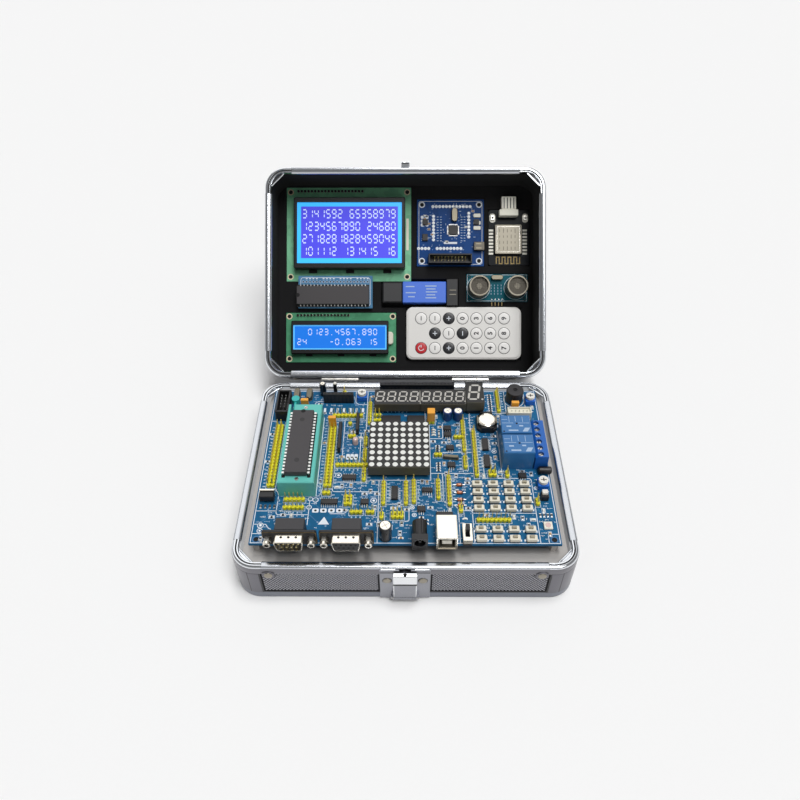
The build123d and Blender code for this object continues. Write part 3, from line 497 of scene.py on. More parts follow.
def dress(node, finish, bevel=0.0):
    """Gives a CAD node its finish, and softens its edges where asked."""
    thing = frame["nodes"][node]
    thing.data.materials.clear()
    thing.data.materials.append(finish)
    if bevel > 0:
        cut = thing.modifiers.new("edges", "BEVEL")
        cut.width = bevel * MM
        cut.segments = 2
        cut.limit_method = "ANGLE"
        cut.angle_limit = math.radians(40)
        cut.harden_normals = False


# Places read from the frame
hinge = next(joint for joint in frame["joints"] if joint["name"] == "lid_hinge")
hinge_point = Vector(hinge["pos_m"]) / MM
lean = 180 - hinge["range_deg"][1]
skin = 0.8                    # thickness of the case's metal trim
base_height = 32.0
lid_height = 39.6
lid_gap = 2 * (hinge_point.z - base_height)
hinge_line = at(0, hinge_point.y, hinge_point.z, lean, "X")
lid = hinge_line @ at(0, hinge_point.y, -lid_gap / 2 - lid_height)
shell_low, shell_high = cad_box("base_shell")
case_width = shell_high.x - shell_low.x + 2 * skin
case_depth = shell_high.y - shell_low.y + 2 * skin
board_low, board_high = cad_box("main_board")
board = at((board_low.x + board_high.x) / 2, (board_low.y + board_high.y) / 2, board_high.z)
board_width = board_high.x - board_low.x
board_depth = board_high.y - board_low.y
pitch = 2.54

# Case trim
corner_radius = 15.0
corner_leg = 4.0
column_leg = 1.6
rivet_leg = 7.4               # how far the corner's ear and its rivet reach along the side
edging_height = 5.0
gusset_inset = 4.3            # from the case's sides to the corner gussets
gusset_reach = 14.0           # how far the gussets reach along the two sides
line_height = 1.2             # the dark joint between the bottom edging and the panels
latch_clear = 15.5            # half of the width without diamonds behind the latch
skirt = 6.4                   # how far the rim extrusion hangs down outside
skirt_section = [(0.12, -6.4), (0, -6.2), (0, -1.9), (0.2, -1.3), (0.8, -1.3), (0.8, -6.4)]
rim_section = [
    (0.2, -1.3), (0.4, -0.6), (0.8, -0.15), (1.4, 0), (2.4, -0.06), (3.3, -0.22), (4.1, -0.48), (4.8, -0.9),
    (5.05, -1.3), (5.05, -2.0), (3.9, -2.0), (3.9, -3.05), (0.8, -3.05), (0.8, -1.3),
]
corner_section = [
    (0.2, -1.3), (0.45, -0.7), (0.9, -0.25), (1.5, 0), (2.2, 0), (2.55, -0.45), (2.95, -0.45), (3.2, -0.1),
    (3.9, -0.15), (4.3, -0.6), (4.4, -1.2), (4.4, -3.0), (0.8, -3.0), (0.8, -1.3),
]


def corner_stations(corner, legs, steps=10):
    """Points, outward directions and inward shifts round one corner of the case's plan.

    legs are distances along the straight sides, each with how far the sheet is pressed in there.
    """
    side_x, side_y = CORNERS[corner]
    centre = Vector((side_x * (case_width / 2 - corner_radius), side_y * (case_depth / 2 - corner_radius)))
    arc = []
    for step in range(steps + 1):
        angle = math.radians(90 * (corner + step / steps))
        out = Vector((math.cos(angle), math.sin(angle)))
        arc.append((centre + out * corner_radius, out, 0.0))
    ends = []
    for (point, out, _), sign in ((arc[0], -1), (arc[-1], 1)):
        along = Vector((-out.y, out.x)) * sign
        ends.append([(point + along * distance, out, shift) for distance, shift in legs])
    return ends[0] + arc + ends[1][::-1]


round_plan = [station for corner in range(4) for station in corner_stations(corner, [])]


def side_frame(side):
    """One straight side of the plan: its outward direction, its middle and its half length."""
    out = Vector(((1, 0), (0, 1), (-1, 0), (0, -1))[side])
    reach, across = case_width / 2, case_depth / 2
    if side % 2:
        reach, across = across, reach
    return out, out * reach, across - corner_radius


def face_place(side, along, height, depth=0.0):
    """A place on one side of the case, with its Z axis pointing outwards."""
    out, middle, _ = side_frame(side)
    spot = middle + Vector((-out.y, out.x)) * along - out * depth
    turn = Matrix.Rotation(math.atan2(out.y, out.x), 4, "Z") @ Matrix.Rotation(math.pi / 2, 4, "Y")
    return Matrix.Translation((*spot, height)) @ turn


def rivet(piece, place, radius=2.5, rise=0.75):
    """A domed rivet head with a dark ring under it, a painted shadow round its edge."""
    shape = [(1, 0), (1, 0.22), (0.94, 0.5), (0.78, 0.78), (0.5, 0.95), (0.15, 1.0)]
    piece.rod(place, radius + 0.35, 0.12, joint_and_shade_dark, 0.03, sides=24)
    piece.lathe(place, [(radius * r, rise * z) for r, z in shape], rivet_metal, 24)


def embossed(piece, place, length, height, cell=2.0, rise=0.4, skip=0.0):
    """Rows of small pressed diamonds on a flat panel, leaving out a middle part where asked."""
    reach = cell * 0.36
    for row in range(int(height / (cell / 2)) - 1):
        y = (row + 1) * cell / 2
        for x in spaced(int(length / cell) - row % 2, cell):
            if abs(x) < skip:
                continue
            corners = [(x - reach, y), (x, y - reach), (x + reach, y), (x, y + reach)]
            points = [Vector((*corner, 0.0)) for corner in corners] + [Vector((x, y, rise))]
            faces = [(0, 1, 4), (1, 2, 4), (2, 3, 4), (3, 0, 4), (3, 2, 1, 0)]
            piece.add(place, points, faces, embossed_sheet)


def panel_place(side, height):
    """A place on a side panel with X along the side, Y up and Z outwards."""
    out, middle, _ = side_frame(side)
    spot = middle - out * skin
    around = Matrix.Rotation(math.atan2(out.y, out.x) + math.pi / 2, 4, "Z")
    upright = Matrix.Rotation(math.pi / 2, 4, "X")
    return Matrix.Translation((*spot, height)) @ (around @ upright)


def raised(section, height):
    """A rim section, given from the rim's top downwards, at the height of a case half."""
    return [(depth, height + z) for depth, z in section]


def case_rim(name, place, body, node, height):
    """The four straight rim extrusions of a case half, each with its skirt."""
    rim = Piece(name + "_rim", place, body, node, (node,))
    for side in range(4):
        out, middle, half = side_frame(side)
        along = Vector((-out.y, out.x)) * (half - corner_leg - 0.1)
        ends = [(middle - along, out, 0.0), (middle + along, out, 0.0)]
        rim.sweep(ends, raised(rim_section, height), anodised_rim)
        # the skirt in the darker copy of the rim metal: painted shade
        rim.sweep(ends, raised(skirt_section, height), shaded_skirt_metal)
    rim.done()


def column_folds(piece, corner, low, high):
    """Two fine dark strips down a corner column: painted shade in its folds."""
    sx, sy = CORNERS[corner]
    for share in (0.22, 0.78):
        angle = math.radians(90 * (corner + share))
        fold = at(sx * (case_width / 2 - corner_radius) + corner_radius * math.cos(angle),
                  sy * (case_depth / 2 - corner_radius) + corner_radius * math.sin(angle),
                  low, 90 * (corner + share))
        piece.box(fold, 0.1, 0.45, high - low, joint_and_shade_dark, 0.02)


def corner_gusset(piece, corner, height, finish):
    """A flat gusset across the inside of a corner, with a folded bright edge."""
    sx, sy = CORNERS[corner]
    near_x, near_y = case_width / 2 - gusset_inset, case_depth / 2 - gusset_inset
    far_x, far_y = case_width / 2 - gusset_reach, case_depth / 2 - gusset_reach
    flat = [Vector((x * sx, y * sy)) for x, y in ((near_x, near_y), (near_x, far_y), (far_x, near_y))]
    if sx * sy > 0:
        flat = flat[::-1]
    piece.prism(at(0, 0, height - 2.4), flat, 0.8, finish, 0.1)
    middle_x, middle_y = (near_x + far_x) / 2, (near_y + far_y) / 2
    bar = at(middle_x * sx, middle_y * sy, height - 2.3, 45 if sx * sy < 0 else -45)
    length = (gusset_reach - gusset_inset) * 1.32
    piece.box(bar @ at(0, 0.2 * sy, 0), length, 1.0, 1.3, polished_corner, 0.3)


def case_corners(name, place, body, node, height, low, high):
    """The polished rim corners of a case half, with the columns and gussets below them."""
    corners = Piece(name + "_corners", place, body, node)
    column = [(0.15, low), (0, low + 0.15), (0, high - 0.15), (0.15, high), (skin, high), (skin, low)]
    groove = [(2.5, -0.4), (3.0, -0.4), (3.0, -0.18), (2.5, -0.18)]
    for corner in range(4):
        stations = corner_stations(corner, [(corner_leg, 0)])
        corners.sweep(stations, raised(corner_section, height), polished_corner)
        # the corner's skirt in the darker copy of the rim metal: painted shade
        corners.sweep(stations, raised(skirt_section, height), shaded_skirt_metal)
        # a near-black strip in the corner's groove: painted shade
        corners.sweep(stations, raised(groove, height), groove_shade_black)
        corners.sweep(corner_stations(corner, [(column_leg, 0)]), column, satin_column)
        column_folds(corners, corner, low, high)
        # the lid's gussets: the same metal as the base's, drawn near black as painted shade
        corner_gusset(corners, corner, height, polished_corner if name == "base" else joint_and_shade_dark)
    corners.done()


def case_strip(name, place, body, node, low, panel_low):
    """The edging strip round the bottom of a case half, and the dark joint above it."""
    strip = Piece(name + "_strip", place, body, node)
    section = [(0.6, 0), (0.15, 0.25), (0, 0.8), (0, low - 0.4), (0.3, low), (skin, low), (skin, 0)]
    strip.sweep(round_plan, section, strip_metal, True)
    joint = [(0.35, low), (0.35, panel_low), (skin, panel_low), (skin, low)]
    strip.sweep(round_plan, joint, joint_and_shade_dark, True)
    strip.done()


def case_panels(name, place, body, height, panel_low, high):
    """The embossed side panels of a case half, with their dark ends, seams deepened by painted shade, and the
    rivets above them.

    The rivets of the short sides sit on the panel, and those of the long sides on an ear of the rim.
    """
    panels = Piece(name + "_panels", place, body, name + "_shell")
    tall = high - panel_low
    for side in range(4):
        straight = side_frame(side)[2]
        half = straight - column_leg
        behind_latch = name == "base" and side == 3
        skip = latch_clear if behind_latch else 0.0
        embossed(panels, panel_place(side, panel_low), 2 * half - 1.6, tall, skip=skip)
        for sign in (-1, 1):
            end = panel_place(side, panel_low) @ at(sign * (half - 0.45), tall / 2, 0)
            panels.box(end, 0.9, tall, 0.55, joint_and_shade_dark, 0.02)
            along = sign * (straight - rivet_leg)
            if side % 2:
                ear = face_place(side, along, height - skirt - 0.9)
                panels.prism(ear, rounded_rectangle(6.6, 7.2, 2.6), 0.45, satin_column, 0.1)
                rivet(panels, ear @ at(0, 0, 0.3), rise=0.9)
            else:
                rivet(panels, face_place(side, along, height - skirt - 2.4, skin - 0.1), rise=0.5)
    panels.done(50)


def case_half(name, place, body, node, height):
    """All the trim of one case half, from its rim down to its bottom edging."""
    low, high = edging_height + 0.1, height - skirt - 0.1
    panel_low = edging_height + line_height
    case_rim(name, place, body, node, height)
    case_corners(name, place, body, node, height, low, high)
    case_strip(name, place, body, node, low, panel_low)
    case_panels(name, place, body, height, panel_low, high)


case_half("base", Matrix(), "case_base", "base_frame", base_height)
case_half("lid", lid, "lid", "lid_frame", lid_height)

# Embossed sheet on the outside of the lid, and the black lining inside it
sheet_width, sheet_depth = 186, 134
lid_sheet = Piece("lid_outer_sheet", lid, "lid", "lid_shell")
embossed(lid_sheet, at(0, -66, 0, 180, "Y"), sheet_width, sheet_depth, cell=3.6, rise=0.3)
border = rounded_rectangle(case_width - 2, case_depth - 2, corner_radius - 1)
lid_sheet.tube(at(0, 0, 0.1, 180, "Y"), border, rounded_rectangle(sheet_width, sheet_depth, 2), 0.35,
               strip_metal)
lid_sheet.done(50)
lining = Piece("lid_lining", lid, "lid", "lid_shell")
lining_section = [(3.78, 7.0), (3.78, lid_height - 3.2), (4.0, lid_height - 3.2), (4.0, 7.0)]
lining.sweep(round_plan, lining_section, lining_black, True)
lining.done()

# Latch plate with its lugs, pads and pin
latch = Piece("latch_plate", Matrix(), "case_base", "base_frame")
face_y = -case_depth / 2
plate_outline = [Vector((x, z)) for x, z in ((-14.5, 1.5), (14.5, 1.5), (14.5, 30.8))]
for step in range(9):
    angle = math.pi * step / 8
    plate_outline.append(Vector((3.4 * math.cos(angle), 30.8 - 3.4 * math.sin(angle))))
plate_outline.append(Vector((-14.5, 30.8)))
latch.prism(at(0, face_y, 0, 90, "X"), plate_outline, 1.0, latch_metal, 0.2)
for side in (-1, 1):
    latch.box(at(side * 9.6, face_y + 0.6, 29.6), 8.6, 2.6, 1.2, pad_metal, 0.3)
    rivet(latch, at(side * 10.2, face_y - 0.95, 20.5, 90, "X"), rise=0.8)
    latch.box(at(side * 7.51, face_y - 1.9, 3.5), 1.5, 3.2, 3.0, latch_metal, 0.25)
    # a dark line under each pad: painted shadow
    latch.box(at(side * 9.6, face_y - 1.0, 28.5), 9.4, 0.12, 0.8, joint_and_shade_dark, 0.02)
latch.rod(at(-8.3, face_y - 2.75, 5.0, 90, "Y"), 0.8, 16.6, nickel_shell)
latch.done()

# Latch lever: a pressed flap on its pin
lever_low, lever_high = cad_box("latch_lever")
lever = Piece("latch_flap", Matrix(), "latch", replaces=("latch_lever",))
side_on = Matrix(((0, 0, 1, 0), (1, 0, 0, 0), (0, 1, 0, 0), (0, 0, 0, 1)))
lever_width = lever_high.x - lever_low.x
sheet_y, top = lever_low.y + 1.3, lever_high.z
profile = [(sheet_y, 4.6), (sheet_y + 1.3, 4.6), (sheet_y + 1.3, top), (lever_low.y + 1.0, top),
           (lever_low.y + 0.35, top - 0.4), (lever_low.y, top - 1.2), (lever_low.y, top - 7.6),
           (lever_low.y + 0.5, top - 8.6), (sheet_y, top - 8.9)]
outline = [Vector(point) for point in profile]
lever.prism(side_on @ at(0, 0, -lever_width / 2), outline, lever_width, pad_metal, 0.15)
lever.box(at(0, sheet_y - 0.1, 5.6), lever_width - 1.0, 0.3, top - 15.4, latch_metal, 0.1)
# a dark strip under the flap's lower edge: painted shade
lever.box(at(0, lever_low.y + 0.52, top - 9.6), lever_width, 0.6, 0.7, joint_and_shade_dark, 0.05)
lever.rod(at(0, lever_low.y + 1.5, top - 0.06), 1.1, 0.1, painted_hole_shade, 0.02)
lever.tube(at(-lever_width / 2, -case_depth / 2 - 2.75, 5.0, 90, "Y"), circle(1.45, 20), circle(0.86, 20),
           lever_width, latch_metal, 0.1)
lever.done()

# Hinges: leaves on both halves whose knuckles take turns on the pin
hinge_length = 26.0
hinge_gap = 0.2


def hinge_half(name, place, body, node, first, side):
    """Two hinge leaves with their knuckles: the pin is at zero and the leaves hang down."""
    piece = Piece(name, place, body, node)
    length = (hinge_length - 2 * hinge_gap) / 3
    for middle in (-46, 46):
        piece.box(at(middle, side * -1.1, -15.5), hinge_length, 0.6, 14.0, latch_metal, 0.15)
        for index in range(first, 3, 2):
            x = middle - hinge_length / 2 + length / 2 + index * (length + hinge_gap)
            piece.rod(at(x - length / 2, 0, 0, 90, "Y"), 1.3, length, nickel_shell, 0.15)
            piece.box(at(x, side * -1.1, -1.8), length, 0.6, 1.8, latch_metal, 0.1)
        for offset in (-9, 0, 9):
            rivet(piece, at(middle + offset, side * -0.85, -9.5, -90 * side, "X"), 1.5, 0.5)
    piece.done()


hinge_half("base_hinge_leaves", at(0, hinge_point.y, hinge_point.z), "case_base", "base_frame", 0, 1)
hinge_half("lid_hinge_leaves", hinge_line, "lid", "lid_frame", 1, -1)

# The lid's tongue, which the latch lever pulls down
tongue = Piece("lid_tongue", lid, "lid", "lid_frame")
tongue.box(at(0, case_depth / 2 + 0.9, lid_height - 4.6), 6.0, 1.8, 3.4, pad_metal, 0.25)
tongue.box(at(0, case_depth / 2 + 1.55, lid_height - 1.3), 6.0, 0.6, 5.2, pad_metal, 0.2)
tongue.done()

# Panels, foam, deck and board keep the solids' own shape, and a pale liner runs round the deck as a painted
# reflection
# the panels' flat sheet between the diamonds: a dark copy of the sheet metal, as painted shade
dress("base_shell", painted_shade_sheet)
dress("lid_shell", painted_shade_sheet)
dress("lid_foam", foam_black)
dress("deck_plate", deck_metal)
dress("main_board", board_mask)
liner = Piece("base_liner", Matrix(), "case_base", "base_shell")
liner_low = cad_box("deck_plate")[1].z - 5.95
liner_section = [(4.6, liner_low), (4.5, base_height - 2.6), (5.1, base_height - 2.1), (6.1, liner_low)]
liner.sweep(round_plan, liner_section, reflection_pale_liner, True)
liner.done()

# Board print: zone outlines, label dashes, rings and marks
parts_on_board = []
for node in ("pin_headers", "socket_strips", "soldered_parts", "digit_displays", "led_matrix", "relays",
             "terminal_block", "buzzer", "coin_cell_holder", "usb_socket", "power_jack", "serial_ports",
             "switch_bases", "zif_socket"):
    parts_on_board += islands(node, board)


def is_free(x, y, reach):
    """Whether a spot on the board is clear of the parts by a reach."""
    if abs(x) > board_width / 2 - 3 or abs(y) > board_depth / 2 - 3:
        return False
    for low, high in parts_on_board:
        if low.x - reach < x < high.x + reach and low.y - reach < y < high.y + reach:
            return False
    return True


def take(low_x, low_y, high_x, high_y):
    """Marks an area of the board as taken, so that later parts and print keep clear of it."""
    parts_on_board.append((Vector((low_x, low_y)), Vector((high_x, high_y))))


edge_x = board_width / 2 - 0.9
edge_y = board_depth / 2 - 0.8
zone_lines = [
    [(-edge_x, -22.9), (-79.5, -22.9), (-77.2, -25), (-76.4, -28.2), (-52.4, -28.2), (-51, -26.5),
     (-51, -22.9), (-44.5, -22.9)],
    [(-76.4, -28.2), (-76.4, -41.7), (-57.2, -41.7)],
    [(-57.2, -28.2), (-57.2, -49)],
    [(-edge_x, -39.1), (-76.4, -39.1)],
    [(-edge_x, -48.5), (-81, -48.5), (-80, -51), (-78, -52)],
    [(-53.8, -28.2), (-53.8, 37), (-58, 38.8)],
    [(-44.3, -5), (-44.3, -24.8), (-16, -24.8)],
    [(-44.3, -17.5), (-24.5, -17.5), (-22, -16), (15.8, -16)],
    [(15.8, 30), (15.8, -16.2)],
    [(15.8, -10.6), (49, -10.6)],
    [(23.1, -10.6), (23.1, -32.6), (29, -34.3), (31.6, -37), (31.6, -edge_y)],
    [(31.6, -38.6), (39.8, -38.6), (39.8, -edge_y)],
    [(2.3, -16), (2.3, -46.4), (-3, -46.4)],
    [(-16, -16), (-16, -edge_y)],
    [(-16, -34.1), (2.3, -34.1)],
    [(-44, -41), (-36, -41), (-33.5, -38)],
    [(77.4, -edge_y), (77.4, -14.4), (49, -14.4), (49, -6.4)],
    [(40, -40.4), (77.4, -40.4)],
    [(47, 25.2), (60, 25.2), (60, -14.4)],
    [(67.7, edge_y), (67.7, 40.3), (60, 40.3)],
    [(81.1, edge_y), (81.1, 45), (86, 42)],
    [(60, -6.6), (79, -6.6)],
    [(42.7, 4.8), (42.7, 40.8), (47, 40.8)],
    [(23.7, 6.4), (42.7, 6.4)],
    [(13.3, 43), (13.3, 31)],
    [(-25.6, edge_y), (-25.6, 22.7), (-39.9, 22.7)],
    [(-39.9, 34.3), (-39.9, -0.5)],
    [(-28.7, 22.7), (-28.7, -0.5)],
    [(-46, 34.3), (-25.6, 34.3)],
    [(-33.6, edge_y), (-33.6, 50.5), (-31.5, 48.6), (-25.6, 48.6)],
    [(-61, 44), (-61, 50), (-59, 51.6), (-51, 51.6)],
    [(-edge_x, 33.2), (-85, 33.2)],
    [(24.5, 31), (24.5, 18), (15.8, 18)],
]
prints = Piece("board_print", board, "case_base", "main_board")
line_width = 0.42
corners = [(-edge_x, -edge_y), (edge_x, -edge_y), (edge_x, edge_y), (-edge_x, edge_y)]
prints.stroke(corners, line_width, white_ink, True)
for line in zone_lines:
    prints.stroke(rounded_path(line, 1.6), line_width, white_ink)
hole_inset = 4.0
hole_y = board_depth / 2 - hole_inset + 0.8
for x in (-1, 1):
    for y in (-1, 1):
        spot = at(x * (board_width / 2 - hole_inset), y * hole_y)
        prints.tube(spot, circle(2.3), circle(1.65), 0.04, trace_mask, 0.01)
        # a dark disc in each mounting hole: painted shade
        prints.prism(spot @ at(0, 0, -0.6), circle(1.7), 0.2, painted_hole_shade, 0)
    corner_line = [(x * 82.3, -edge_y), (x * 82.3, -55), (x * edge_x, -55)]
    prints.stroke(rounded_path(corner_line, 1.2), 0.4, white_ink)


def ring(piece, x, y, radius, width, finish, sides=20):
    """A flat printed ring."""
    piece.stroke([point + Vector((x, y)) for point in circle(radius, sides)], width, finish, True)


for x, y, radius in ((-84.3, -49.4, 1.7), (-84.3, -53, 1.5), (-53.8, -31, 1.6), (-57, -30.4, 1.4),
                     (-57.2, -36.4, 1.4), (-41.2, -12.2, 1.8), (-18.8, -31.4, 1.8), (4.2, -36.4, 1.2),
                     (5.4, -41.8, 1.2), (56.7, 7.2, 1.4), (50, -5, 1.2), (79.5, -22, 1.1), (74, 53.2, 6.9)):
    ring(prints, x, y, radius, 0.45, white_ink)
    if radius < 3:
        prints.prism(at(x, y, 0), circle(radius * 0.45, 12), 0.06, solder, 0)
    take(x - radius, y - radius, x + radius, y + radius)
headers = islands("pin_headers", board)
for low, high in headers:
    columns = round((high.x - low.x) / pitch)
    rows = round((high.y - low.y) / pitch)
    middle = (low + high) / 2
    outline = rectangle(high.x - low.x + 0.9, high.y - low.y + 0.9)
    prints.stroke([point + middle.xy for point in outline], 0.25, white_ink, True)
    # one label dash beside each pin
    if rows >= columns and rows > 2:
        side = -1 if middle.x < -60 or 36 < middle.x < 40 else 1
        for row in range(rows):
            x = middle.x + side * (columns * pitch / 2 + 1.7)
            y = low.y + pitch * (row + 0.5)
            dash = chance.uniform(1.3, 2.0)
            prints.stroke([(x - dash / 2, y), (x + dash / 2, y)], 0.8, pale_ink)
    elif columns > 2:
        for column in range(columns):
            x = low.x + pitch * (column + 0.5)
            prints.stroke([(x, low.y - 1.0), (x, low.y - 2.4)], 0.8, pale_ink)
low, high = cad_box("zif_socket", board)
for index in range(24):
    y = low.y + 4 + index * pitch
    prints.stroke([(high.x + 1.4, y), (high.x + 3.0, y)], 0.8, pale_ink)
# a row of small pads with holes, and a row of bar marks behind the long header
for index in range(4):
    x = -53.2 + index * 4.75
    pad_outline = [point + Vector((x, -38.7)) for point in rounded_rectangle(3.9, 3.0, 0.8, 3)]
    prints.prism(at(0, 0, 0), pad_outline, 0.05, white_ink, 0)
    prints.prism(at(x, -38.7, 0.02), circle(0.75, 14), 0.05, painted_hole_shade, 0)
for index in range(7):
    x = -54 + index * 4.27
    prints.prism(at(x, 42.7, 0), rectangle(1.5, 5.2, 0.4), 0.05, white_ink, 0)
    prints.prism(at(x, 40.6, 0), rectangle(2.6, 1.6, 0.5), 0.05, white_ink, 0)
for index in range(3):
    x = -36.2 + index * pitch
    prints.prism(at(x, 2.6, 0), rectangle(2.3, 4.6, 0.5), 0.05, white_ink, 0)
    prints.prism(at(x, 2.2, 0.02), circle(0.65, 14), 0.05, painted_hole_shade, 0)
triangle = [Vector(p) for p in ((-51, -48.6), (-44.4, -48.6), (-47.6, -43.2))]
prints.prism(at(0, 0, 0), triangle, 0.05, white_ink, 0)
take(-56, -50, -38, -36.8)
take(-56, 38, -27, 46)
take(-38, 0, -29, 6)

# Copper tracks under the mask, from the pins outwards, with a via at the end of each
tracks = Piece("board_tracks", board, "case_base", "main_board")
headings = [Vector((math.cos(k * math.pi / 4), math.sin(k * math.pi / 4))) for k in range(8)]
for low, high in headers + islands("socket_strips", board):
    columns = max(1, round((high.x - low.x) / pitch))
    rows = max(1, round((high.y - low.y) / pitch))
    for column in range(columns):
        for row in range(rows):
            point = Vector((low.x + pitch * (column + 0.5), low.y + pitch * (row + 0.5)))
            heading = chance.choice((0, 2, 4, 6))
            path = [point]
            for turn in (0, chance.choice((-1, 1)), 0):
                heading = (heading + turn) % 8
                point = point + headings[heading] * chance.uniform(2.5, 9.0)
                path.append(point)
            if abs(point.x) < edge_x - 1 and abs(point.y) < edge_y - 1:
                tracks.stroke(path, 0.34, trace_mask, thick=0.02)
                tracks.prism(at(point.x, point.y, 0), circle(0.5, 10), 0.035, pale_ink, 0)
                tracks.prism(at(point.x, point.y, 0.01), circle(0.22, 8), 0.035, painted_hole_shade, 0)
tracks.done()


def surface_part(piece, x, y, turn, kind):
    """A small soldered chip part: a resistor, a capacitor or a lamp, with its pads."""
    spot = at(x, y, 0, turn)
    for side in (-1, 1):
        piece.box(spot @ at(side * 1.05, 0, 0), 0.9, 1.3, 0.08, solder, 0.02)
        piece.box(spot @ at(side * 0.8, 0, 0.05), 0.42, 1.22, 0.52, tin_plate, 0.06)
    body = {"resistor": small_epoxy, "capacitor": ceramic_tan, "lamp": lamp_white}[kind]
    piece.box(spot @ at(0, 0, 0.06), 1.25, 1.2, 0.5 if kind == "resistor" else 0.75, body, 0.06)


small_parts = Piece("surface_parts", board, "case_base", "soldered_parts")
rows_of_parts = [
    (79.6, -41.9, 90, "resistor", 4, 2.2, 0), (-86.0, -36.0, 90, "resistor", 4, 2.7, 0),
    (57.4, 42.6, 0, "resistor", 8, 0, 2.1), (20.8, 5.9, 0, "resistor", 4, 0, 1.9),
    (20.8, -8.4, 0, "resistor", 4, 0, 1.9), (-2.4, -57.9, 0, "capacitor", 1, 0, 0),
    (18.6, 21.0, 0, "lamp", 3, 0, 2.2), (22.0, 20.6, 90, "resistor", 2, 0, 3.0),
    (79.2, 0.5, 90, "capacitor", 1, 0, 0), (12.4, -48.0, 0, "resistor", 2, 0, 2.4),
    (35.2, -44.5, 0, "lamp", 1, 0, 0), (9.6, -43.6, 0, "resistor", 2, 0, -2.0),
]
for x, y, turn, kind, count, step_x, step_y in rows_of_parts:
    for index in range(count):
        spot_x, spot_y = x + index * step_x, y + index * step_y
        surface_part(small_parts, spot_x, spot_y, turn, kind)
        take(spot_x - 1.6, spot_y - 1, spot_x + 1.6, spot_y + 1)
placed = 0
for _ in range(2600):
    x = round(chance.uniform(-edge_x, edge_x) * 2) / 2
    y = round(chance.uniform(-edge_y, edge_y) * 2) / 2
    turn = chance.choice((0, 90))
    if placed < 95 and is_free(x, y, 1.9):
        kind = chance.choice(("resistor", "resistor", "capacitor", "lamp"))
        surface_part(small_parts, x, y, turn, kind)
        outline = rectangle(3.4, 2.0) if turn == 0 else rectangle(2.0, 3.4)
        prints.stroke([point + Vector((x, y)) for point in outline], 0.22, white_ink, True)
        across, along = (1.7, 1.0) if turn == 0 else (1.0, 1.7)
        take(x - across, y - along, x + across, y + along)
        placed += 1
small_parts.done()
# fine print: short rows of strokes, like small labels, and single dashes
for _ in range(3400):
    x, y = chance.uniform(-edge_x, edge_x), chance.uniform(-edge_y, edge_y)
    if not is_free(x, y, 0.75):
        continue
    letters = chance.choice((1, 2, 3, 4))
    across = 0.42 * letters + 0.3
    tall = chance.choice((0.9, 1.2))
    ink = chance.choice((white_ink, white_ink, pale_ink))
    for offset in spaced(letters, 0.85):
        letter_x = x + offset
        if chance.random() < 0.5:
            prints.stroke([(letter_x, y - tall / 2), (letter_x, y + tall / 2)], 0.36, ink)
        prints.stroke([(letter_x - 0.3, y), (letter_x + 0.3, y + chance.uniform(-0.4, 0.4))], 0.3, ink)
    take(x - across - 0.4, y - 0.7, x + across + 0.4, y + 0.7)
prints.done()

# Pin headers
pin_headers = Piece("header_strips", board, "case_base", replaces=("pin_headers",))
strip_height = 2.5
pin_width = 0.64


def pin(piece, place, height, finish=pin_gold, width=pin_width):
    """A square pin with a tapered tip."""
    half = width / 2
    rings = []
    for half_width, z in ((half, 0), (half, height - 0.7), (half * 0.45, height)):
        rings.append([(*point, z) for point in rectangle(2 * half_width, 2 * half_width)])
    piece.loft(place, rings, finish)


for low, high in headers:
    columns = round((high.x - low.x) / pitch)
    rows = round((high.y - low.y) / pitch)
    for column in range(columns):
        for row in range(rows):
            spot = at(low.x + pitch * (column + 0.5), low.y + pitch * (row + 0.5))
            pin_headers.prism(spot, rectangle(2.5, 2.5, 0.72), strip_height, header_yellow, 0.2)
            pin(pin_headers, spot @ at(0, 0, strip_height), high.z - strip_height)
for x, y, depth in ((-47.4, 27.4, 2.5), (17.0, 33.0, 5.0)):
    pin_headers.box(at(x, y, 2.6), 5.0, depth, 8.2, jumper_amber, 0.3)
pin_headers.done()
jumpers = Piece("jumper_caps", board, "case_base", "soldered_parts")
for x, y, width, depth, height in ((73.2, 43.2, 5.0, 2.5, 8.5), (-67.4, 46.0, 5.0, 2.5, 8.0)):
    jumpers.box(at(x, y), width, depth, height, jumper_amber, 0.25)
jumpers.done()

# Sockets, box header and resistor networks
strips = Piece("socket_rows", board, "case_base", replaces=("socket_strips",))
for low, high in islands("socket_strips", board):
    size = high - low
    middle = (low + high) / 2
    if high.z > 8.8:
        outer = rectangle(size.x, size.y, 0.3)
        strips.tube(at(middle.x, middle.y), outer, inset(outer, 1.2), 9.0, nylon_black, 0.15)
        strips.box(at(middle.x, middle.y), size.x - 2.2, size.y - 2.2, 2.4, nylon_black, 0)
        strips.box(at(high.x - 0.35, middle.y, 2.6), 1.0, 4.4, 6.6, painted_hole_shade, 0.1)
        for x in spaced(2, pitch):
            for y in spaced(5, pitch):
                pin(strips, at(middle.x + x, middle.y + y, 2.4), 6.4, tin_plate, 0.8)
    elif high.z > 8:
        columns = round(size.x / pitch)
        strips.box(at(middle.x, middle.y), size.x, size.y, high.z, nylon_black, 0.15)
        for column in range(columns):
            x = low.x + pitch * (column + 0.5)
            strips.box(at(x, middle.y, high.z - 0.05), 1.0, 1.0, 0.1, painted_hole_shade, 0.02)
            strips.box(at(x, low.y, 1.0), 1.2, 0.2, 5.5, small_epoxy, 0.03)
    else:
        ways = round(size.y / pitch)
        strips.box(at(middle.x, middle.y, 0.8), size.x, size.y, high.z - 0.8, nylon_black, 0.3)
        for way in range(ways):
            pin(strips, at(middle.x, low.y + pitch * (way + 0.5)), 1.2, tin_plate, 0.5)
strips.done()

